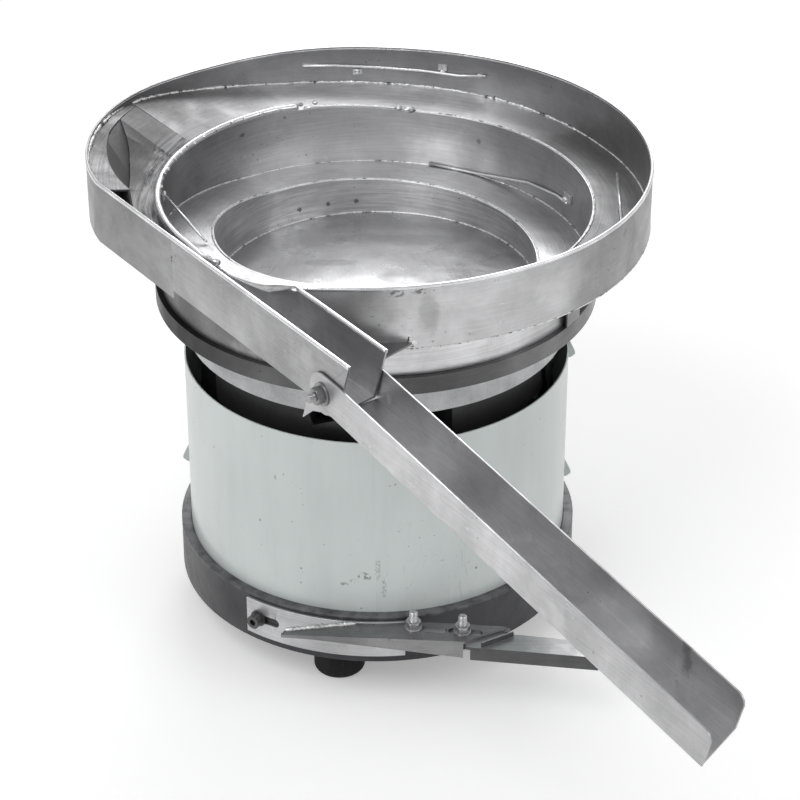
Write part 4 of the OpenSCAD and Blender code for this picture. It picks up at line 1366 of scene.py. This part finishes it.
@dataclass
class Chute:
    """Tilting chute with its pivot bolts."""

    bolt_r: float = M8_RADIUS
    pitch: float = M8_PITCH

    def build(self) -> None:
        """Dresses the chute and builds its threaded pivot bolts."""
        inner_w, rim = LAYOUT.inner_w, LAYOUT.rim_z
        marks = (
            Mark(Vector((0.217, -0.661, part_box("chute")[0].z + 0.05)), 0.010, -0.6, (1.4, 0.8, 4.0)),
            Mark(LAYOUT.at(0.30, inner_w, rim - 0.045), 0.006, 0.5),
            Mark(LAYOUT.at(0.42, inner_w, rim - 0.06), 0.03, -0.2, (2.0, 1.0, 1.0)),
            Mark(LAYOUT.at(0.60, inner_w, rim - 0.08), 0.03, 0.2, (2.0, 1.0, 1.0)),
        )
        # Faces that look up are slightly darkened as painted shade.
        dress(SteelFinish("chute_steel", 0.52, 0.33, Grain.ALONG, streak=0.08, cloud=0.14,
                          painted_top_light=0.93, marks=marks), "chute", round_edge=0.0006)
        dress(SteelFinish("bolt_steel", 0.33, 0.24, Grain.PLAIN, wave=0.1), "pivot_washers", "pivot_nuts",
              round_edge=0.0003)
        self.pivot_threads()

    def pivot_threads(self) -> None:
        """Real threads on the pivot's bolt and stud, and the bolt's round head."""
        points = [vertex.co.copy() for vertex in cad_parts["pivot_bolts"].data.vertices]
        across = [p.dot(LAYOUT.inward) for p in points]
        low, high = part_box("pivot_bolts")
        z = (low.z + high.z) / 2
        near = [p.dot(LAYOUT.along) for p, w in zip(points, across) if w < -LAYOUT.trough_face]
        s = (min(near) + max(near)) / 2
        inside = -LAYOUT.trough_face + LAYOUT.sheet
        shape = bmesh.new()
        for start, end in ((inside, min(across)), (LAYOUT.inner_w + LAYOUT.sheet, max(across))):
            threaded_rod(shape, LAYOUT.at(s, start, z), LAYOUT.at(s, end, z), self.bolt_r, self.pitch,
                         0.003)
        head = [LAYOUT.at(s, inside + t, z) for t in (0.0, 0.0004, 0.002, 0.0034, 0.004)]
        radii = (0.0060, 0.0064, 0.0063, 0.0054, 0.0036)
        sweep(shape, head, lambda i, turn: radii[i], 24)
        bolts = finish_piece("pivot_threads", shape, THREAD_STEEL, Body.BOWL, Slot.ZINC)
        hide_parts("pivot_bolts")


@dataclass
class Drive:
    """Castings, magnet, springs and clamps."""

    def build(self) -> None:
        """Dresses the drive."""
        dress(CastFinish("cast_aluminium", (0.42, 0.425, 0.43), 0.85, 0.48, 0.2, 0.5), "top_casting",
              round_edge=0.002)
        dress(CastFinish("black_iron_casting", (0.030, 0.030, 0.032), 0.2, 0.5, 0.3, 0.6),
              *[f"{kind}_block_{k}" for kind in ("upper", "lower") for k in range(1, 5)],
              round_edge=0.0015)
        dress(CastFinish("clamp_iron", (0.045, 0.045, 0.047), 0.4, 0.45), "upper_clamp_plates",
              "lower_clamp_plates")
        dress(SteelFinish("leaf_steel", 0.05, 0.40, Grain.PLAIN, cloud=0.3),
              *[f"spring_pack_{k}" for k in range(1, 5)])
        dress(SteelFinish("bolt_black_steel", 0.10, 0.38, Grain.PLAIN, wave=0.1),
              "upper_spring_bolts", "lower_spring_bolts", "foot_screws", "slot_bolt")
        dress(CastFinish("core_laminations", (0.09, 0.09, 0.095), 0.6, 0.4), "magnet_core", "armature")
        dress(WindingFinish(), "magnet_coil")
        dress(CastFinish("base_iron", (0.05, 0.052, 0.054), 0.2, 0.55), "base_casting", "bottom_plate",
              round_edge=0.001)
        self.bending_packs()

    def bending_packs(self) -> None:
        """Copies of the leaf packs that stand in for the imported ones."""
        for k in range(1, 5):
            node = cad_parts[f"spring_pack_{k}"]
            piece = bpy.data.objects.new(f"bending_pack_{k}", node.data.copy())
            piece.matrix_world = node.matrix_world
            bpy.context.scene.collection.objects.link(piece)
            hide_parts(node.name)
            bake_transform(piece)
            LOG.info("made %s between base and bowl", piece.name)


@dataclass
class Housing:
    """Cover, base ring, feet and gland."""

    def build(self) -> None:
        """Dresses the housing."""
        low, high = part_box("cover")
        # Angle, height, size, strength, tallness and grit of each scuff.
        spots = ((266.6, 0.044, 0.0085, 0.75, 0.5, 260.0), (260.8, 0.034, 0.005, 0.6, 0.5, 260.0),
                 (263.5, 0.038, 0.006, 0.5, 0.4, 300.0), (270.6, 0.052, 0.004, 0.35, 3.2, 500.0),
                 (272.4, 0.030, 0.0035, 0.45, 3.6, 500.0), (247.8, 0.044, 0.0012, 0.8, 1.0, 0.0),
                 (247.6, 0.028, 0.0012, 0.6, 1.0, 0.0), (234.2, 0.083, 0.0014, 0.6, 1.4, 0.0),
                 (289.5, 0.055, 0.003, 0.3, 0.5, 400.0), (240.0, 0.135, 0.0016, 0.4, 2.0, 0.0))
        marks = tuple(Mark(LAYOUT.round(high.x, a, low.z + z), size, tone, (0.8, 0.8, tall), broken)
                      for a, z, size, tone, tall, broken in spots)
        dress(EnamelFinish("pale_enamel", marks=marks), "cover", round_edge=0.0003)
        dress(EnamelFinish("ear_enamel", (0.56, 0.61, 0.60)), "cover_ears", round_edge=0.0006)
        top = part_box("base_ring")[1].z
        dress(CastFinish("ring_paint", (0.042, 0.042, 0.046), 0.2, 0.44, 0.2, 0.4, worn_above=top),
              "base_ring", round_edge=0.0008)
        dress(RubberFinish("foot_rubber", 0.003, 0.92), "rubber_feet", round_edge=0.001)
        dress(RubberFinish("gland_plastic", 0.025, 0.45), "cable_gland", round_edge=0.0006)


@dataclass
class Bracket:
    """Mount plate, channel, studs and the sliding extension arm."""

    stud_r: float = M8_RADIUS
    pitch: float = M8_PITCH
    weld_left: tuple[float, float, float] = (-0.0835, -0.2036, 0.0815)
    weld_right: tuple[float, float, float] = (-0.018, -0.1932, 0.0815)

    def build(self) -> None:
        """Dresses the bracket and adds threads and welds."""
        # The channel's faces that look up are slightly darkened as painted shade.
        dress(SteelFinish("bracket_steel", 0.24, 0.30, Grain.PLAIN, streak=0.08, cloud=0.2,
                          painted_top_light=0.9), "bracket_channel", round_edge=0.0022)
        dress(SteelFinish("mount_plate_steel", 0.50, 0.36), "mount_plate", round_edge=0.0006)
        # The arm's faces that look up are lightened as painted light.
        dress(SteelFinish("arm_steel", 0.10, 0.32, Grain.PLAIN, streak=0.08, painted_top_light=4.2),
              "extension_arm", round_edge=0.0012)
        dress(SteelFinish("nut_steel", 0.44, 0.25, Grain.PLAIN, wave=0.1), "bracket_nuts",
              "bracket_washers", round_edge=0.0003)
        self.stud_threads()
        WeldSeam("bracket_weld", (Vector(self.weld_left), Vector(self.weld_right)), 0.0046, 0.25,
                 0.0024, seed=14.0, body=Body.BASE, slot=Slot.ZINC,
                 finish=WeldFinish("ripple_weld", 0.70, 0.26, 0.4)).make()

    def stud_threads(self) -> None:
        """Real threads on the two studs."""
        low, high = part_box("bracket_studs")
        centres: dict[bool, list[Vector]] = {True: [], False: []}
        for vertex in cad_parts["bracket_studs"].data.vertices:
            centres[vertex.co.x > (low.x + high.x) / 2].append(vertex.co.copy())
        shape = bmesh.new()
        for points in centres.values():
            x = (min(p.x for p in points) + max(p.x for p in points)) / 2
            y = (min(p.y for p in points) + max(p.y for p in points)) / 2
            threaded_rod(shape, Vector((x, y, low.z)), Vector((x, y, high.z)), self.stud_r, self.pitch)
        studs = finish_piece("stud_threads", shape, THREAD_STEEL, Body.ARM, Slot.ZINC)
        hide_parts("bracket_studs")


@dataclass
class Studio:
    """Floor, surroundings, lamps and camera."""

    floor_size: float = 8.0
    floor_glow: float = 0.30
    fade_from: float = 0.8
    fade_to: float = 1.7
    room_strength: float = 0.62
    lamp_goal: tuple[float, float, float] = (0.05, -0.1, 0.3)
    lens: float = 119.15
    camera_place: tuple[float, float, float] = (0.0220, -2.1715, 1.4823)
    tilt: float = 59.521

    def build(self) -> None:
        """Sets up everything round the object."""
        self.floor()
        self.surroundings()
        self.lamps()
        self.camera()

    def floor(self) -> None:
        """Plain pale floor that shows white and keeps the object's shadow."""
        shape = bmesh.new()
        bmesh.ops.create_grid(shape, x_segments=8, y_segments=8, size=self.floor_size / 2)
        mesh = bpy.data.meshes.new("studio_floor")
        shape.to_mesh(mesh)
        shape.free()
        floor = bpy.data.objects.new("studio_floor", mesh)
        bpy.context.scene.collection.objects.link(floor)
        t = NodeSheet("studio_floor_paint")
        t.feed(t.shader.inputs["Base Color"], (0.88, 0.88, 0.88, 1.0))
        t.feed(t.shader.inputs["Roughness"], 0.9)
        nodes, links = t.tree.nodes, t.tree.links
        rays = nodes.new("ShaderNodeLightPath")
        glow = nodes.new("ShaderNodeEmission")
        glow.inputs["Strength"].default_value = self.floor_glow
        both = nodes.new("ShaderNodeAddShader")
        links.new(t.shader.outputs[0], both.inputs[0])
        links.new(glow.outputs[0], both.inputs[1])
        seen = t.math("MAXIMUM", rays.outputs["Is Camera Ray"], rays.outputs["Is Glossy Ray"])
        seen = t.math("MAXIMUM", seen, rays.outputs["Is Transmission Ray"])
        near = mixed(t.tree, seen, t.shader.outputs[0], both.outputs[0])
        x, y, _ = t.split(t.place)
        white = nodes.new("ShaderNodeEmission")
        far = t.times(rays.outputs["Is Camera Ray"],
                      t.span(t.reach(x, y), self.fade_from, self.fade_to))
        shown = mixed(t.tree, far, near, white.outputs[0])
        links.new(shown, nodes["Material Output"].inputs[0])
        mesh.materials.append(t.material)

    def surroundings(self) -> None:
        """Soft white room, a little darker overhead."""
        world = bpy.data.worlds.new("studio_room")
        bpy.context.scene.world = world
        world.use_nodes = True
        tree = world.node_tree
        nodes, links = tree.nodes, tree.links
        rays = nodes.new("ShaderNodeLightPath")
        where = nodes.new("ShaderNodeTexCoord")
        parts = nodes.new("ShaderNodeSeparateXYZ")
        links.new(where.outputs["Generated"], parts.inputs[0])
        ramp = nodes.new("ShaderNodeValToRGB")
        below, above = ramp.color_ramp.elements
        below.position, below.color = 0.0, (1.0, 1.0, 1.0, 1.0)
        above.position, above.color = 1.0, (0.55, 0.55, 0.56, 1.0)
        links.new(parts.outputs[2], ramp.inputs[0])
        lit, shine = nodes.new("ShaderNodeBackground"), nodes.new("ShaderNodeBackground")
        lit.inputs["Strength"].default_value = self.room_strength
        links.new(ramp.outputs[0], shine.inputs["Color"])
        back = nodes["Background"]
        back.inputs["Color"].default_value = (1.0, 1.0, 1.0, 1.0)
        room = mixed(tree, rays.outputs["Is Glossy Ray"], lit.outputs[0], shine.outputs[0])
        clear = nodes.new("ShaderNodeMath")
        clear.operation = "MAXIMUM"
        links.new(rays.outputs["Is Camera Ray"], clear.inputs[0])
        links.new(rays.outputs["Is Transmission Ray"], clear.inputs[1])
        shown = mixed(tree, clear.outputs[0], room, back.outputs[0])
        links.new(shown, nodes["World Output"].inputs[0])

    def lamps(self) -> None:
        """A large soft key lamp from the upper left, a weak fill from the right and one behind."""
        goal = Vector(self.lamp_goal)
        for name, place, size, watts in (("key_lamp", (-1.2, -1.6, 2.7), 1.6, 30.0),
                                         ("fill_lamp", (2.2, -1.0, 1.8), 1.6, 8.0),
                                         ("back_lamp", (0.1, 2.4, 2.2), 1.4, 24.0)):
            light = bpy.data.lights.new(name, "AREA")
            light.shape, light.size, light.energy = "SQUARE", size, watts
            lamp = bpy.data.objects.new(name, light)
            lamp.location = place
            lamp.rotation_euler = (goal - Vector(place)).to_track_quat("-Z", "Y").to_euler()
            bpy.context.scene.collection.objects.link(lamp)

    def camera(self) -> None:
        """Camera in front of and above the feeder."""
        data = bpy.data.cameras.new("studio_camera")
        data.lens, data.sensor_width = self.lens, 36.0
        data.clip_start, data.clip_end = 0.05, 50.0
        camera = bpy.data.objects.new("studio_camera", data)
        camera.location = self.camera_place
        camera.rotation_euler = (math.radians(self.tilt), 0.0, 0.0)
        bpy.context.scene.collection.objects.link(camera)
        bpy.context.scene.camera = camera


def main() -> None:
    """Builds the scene in order."""
    logging.basicConfig(level=logging.INFO, format="%(name)s: %(message)s")
    bpy.context.scene.view_settings.view_transform = "Standard"
    for part in (Studio(), Bowl(), Trough(), Chute(), Drive(), Housing(), Bracket()):
        LOG.info("building %s", type(part).__name__)
        part.build()
    bpy.context.view_layer.update()


if __name__ == "__main__":
    main()
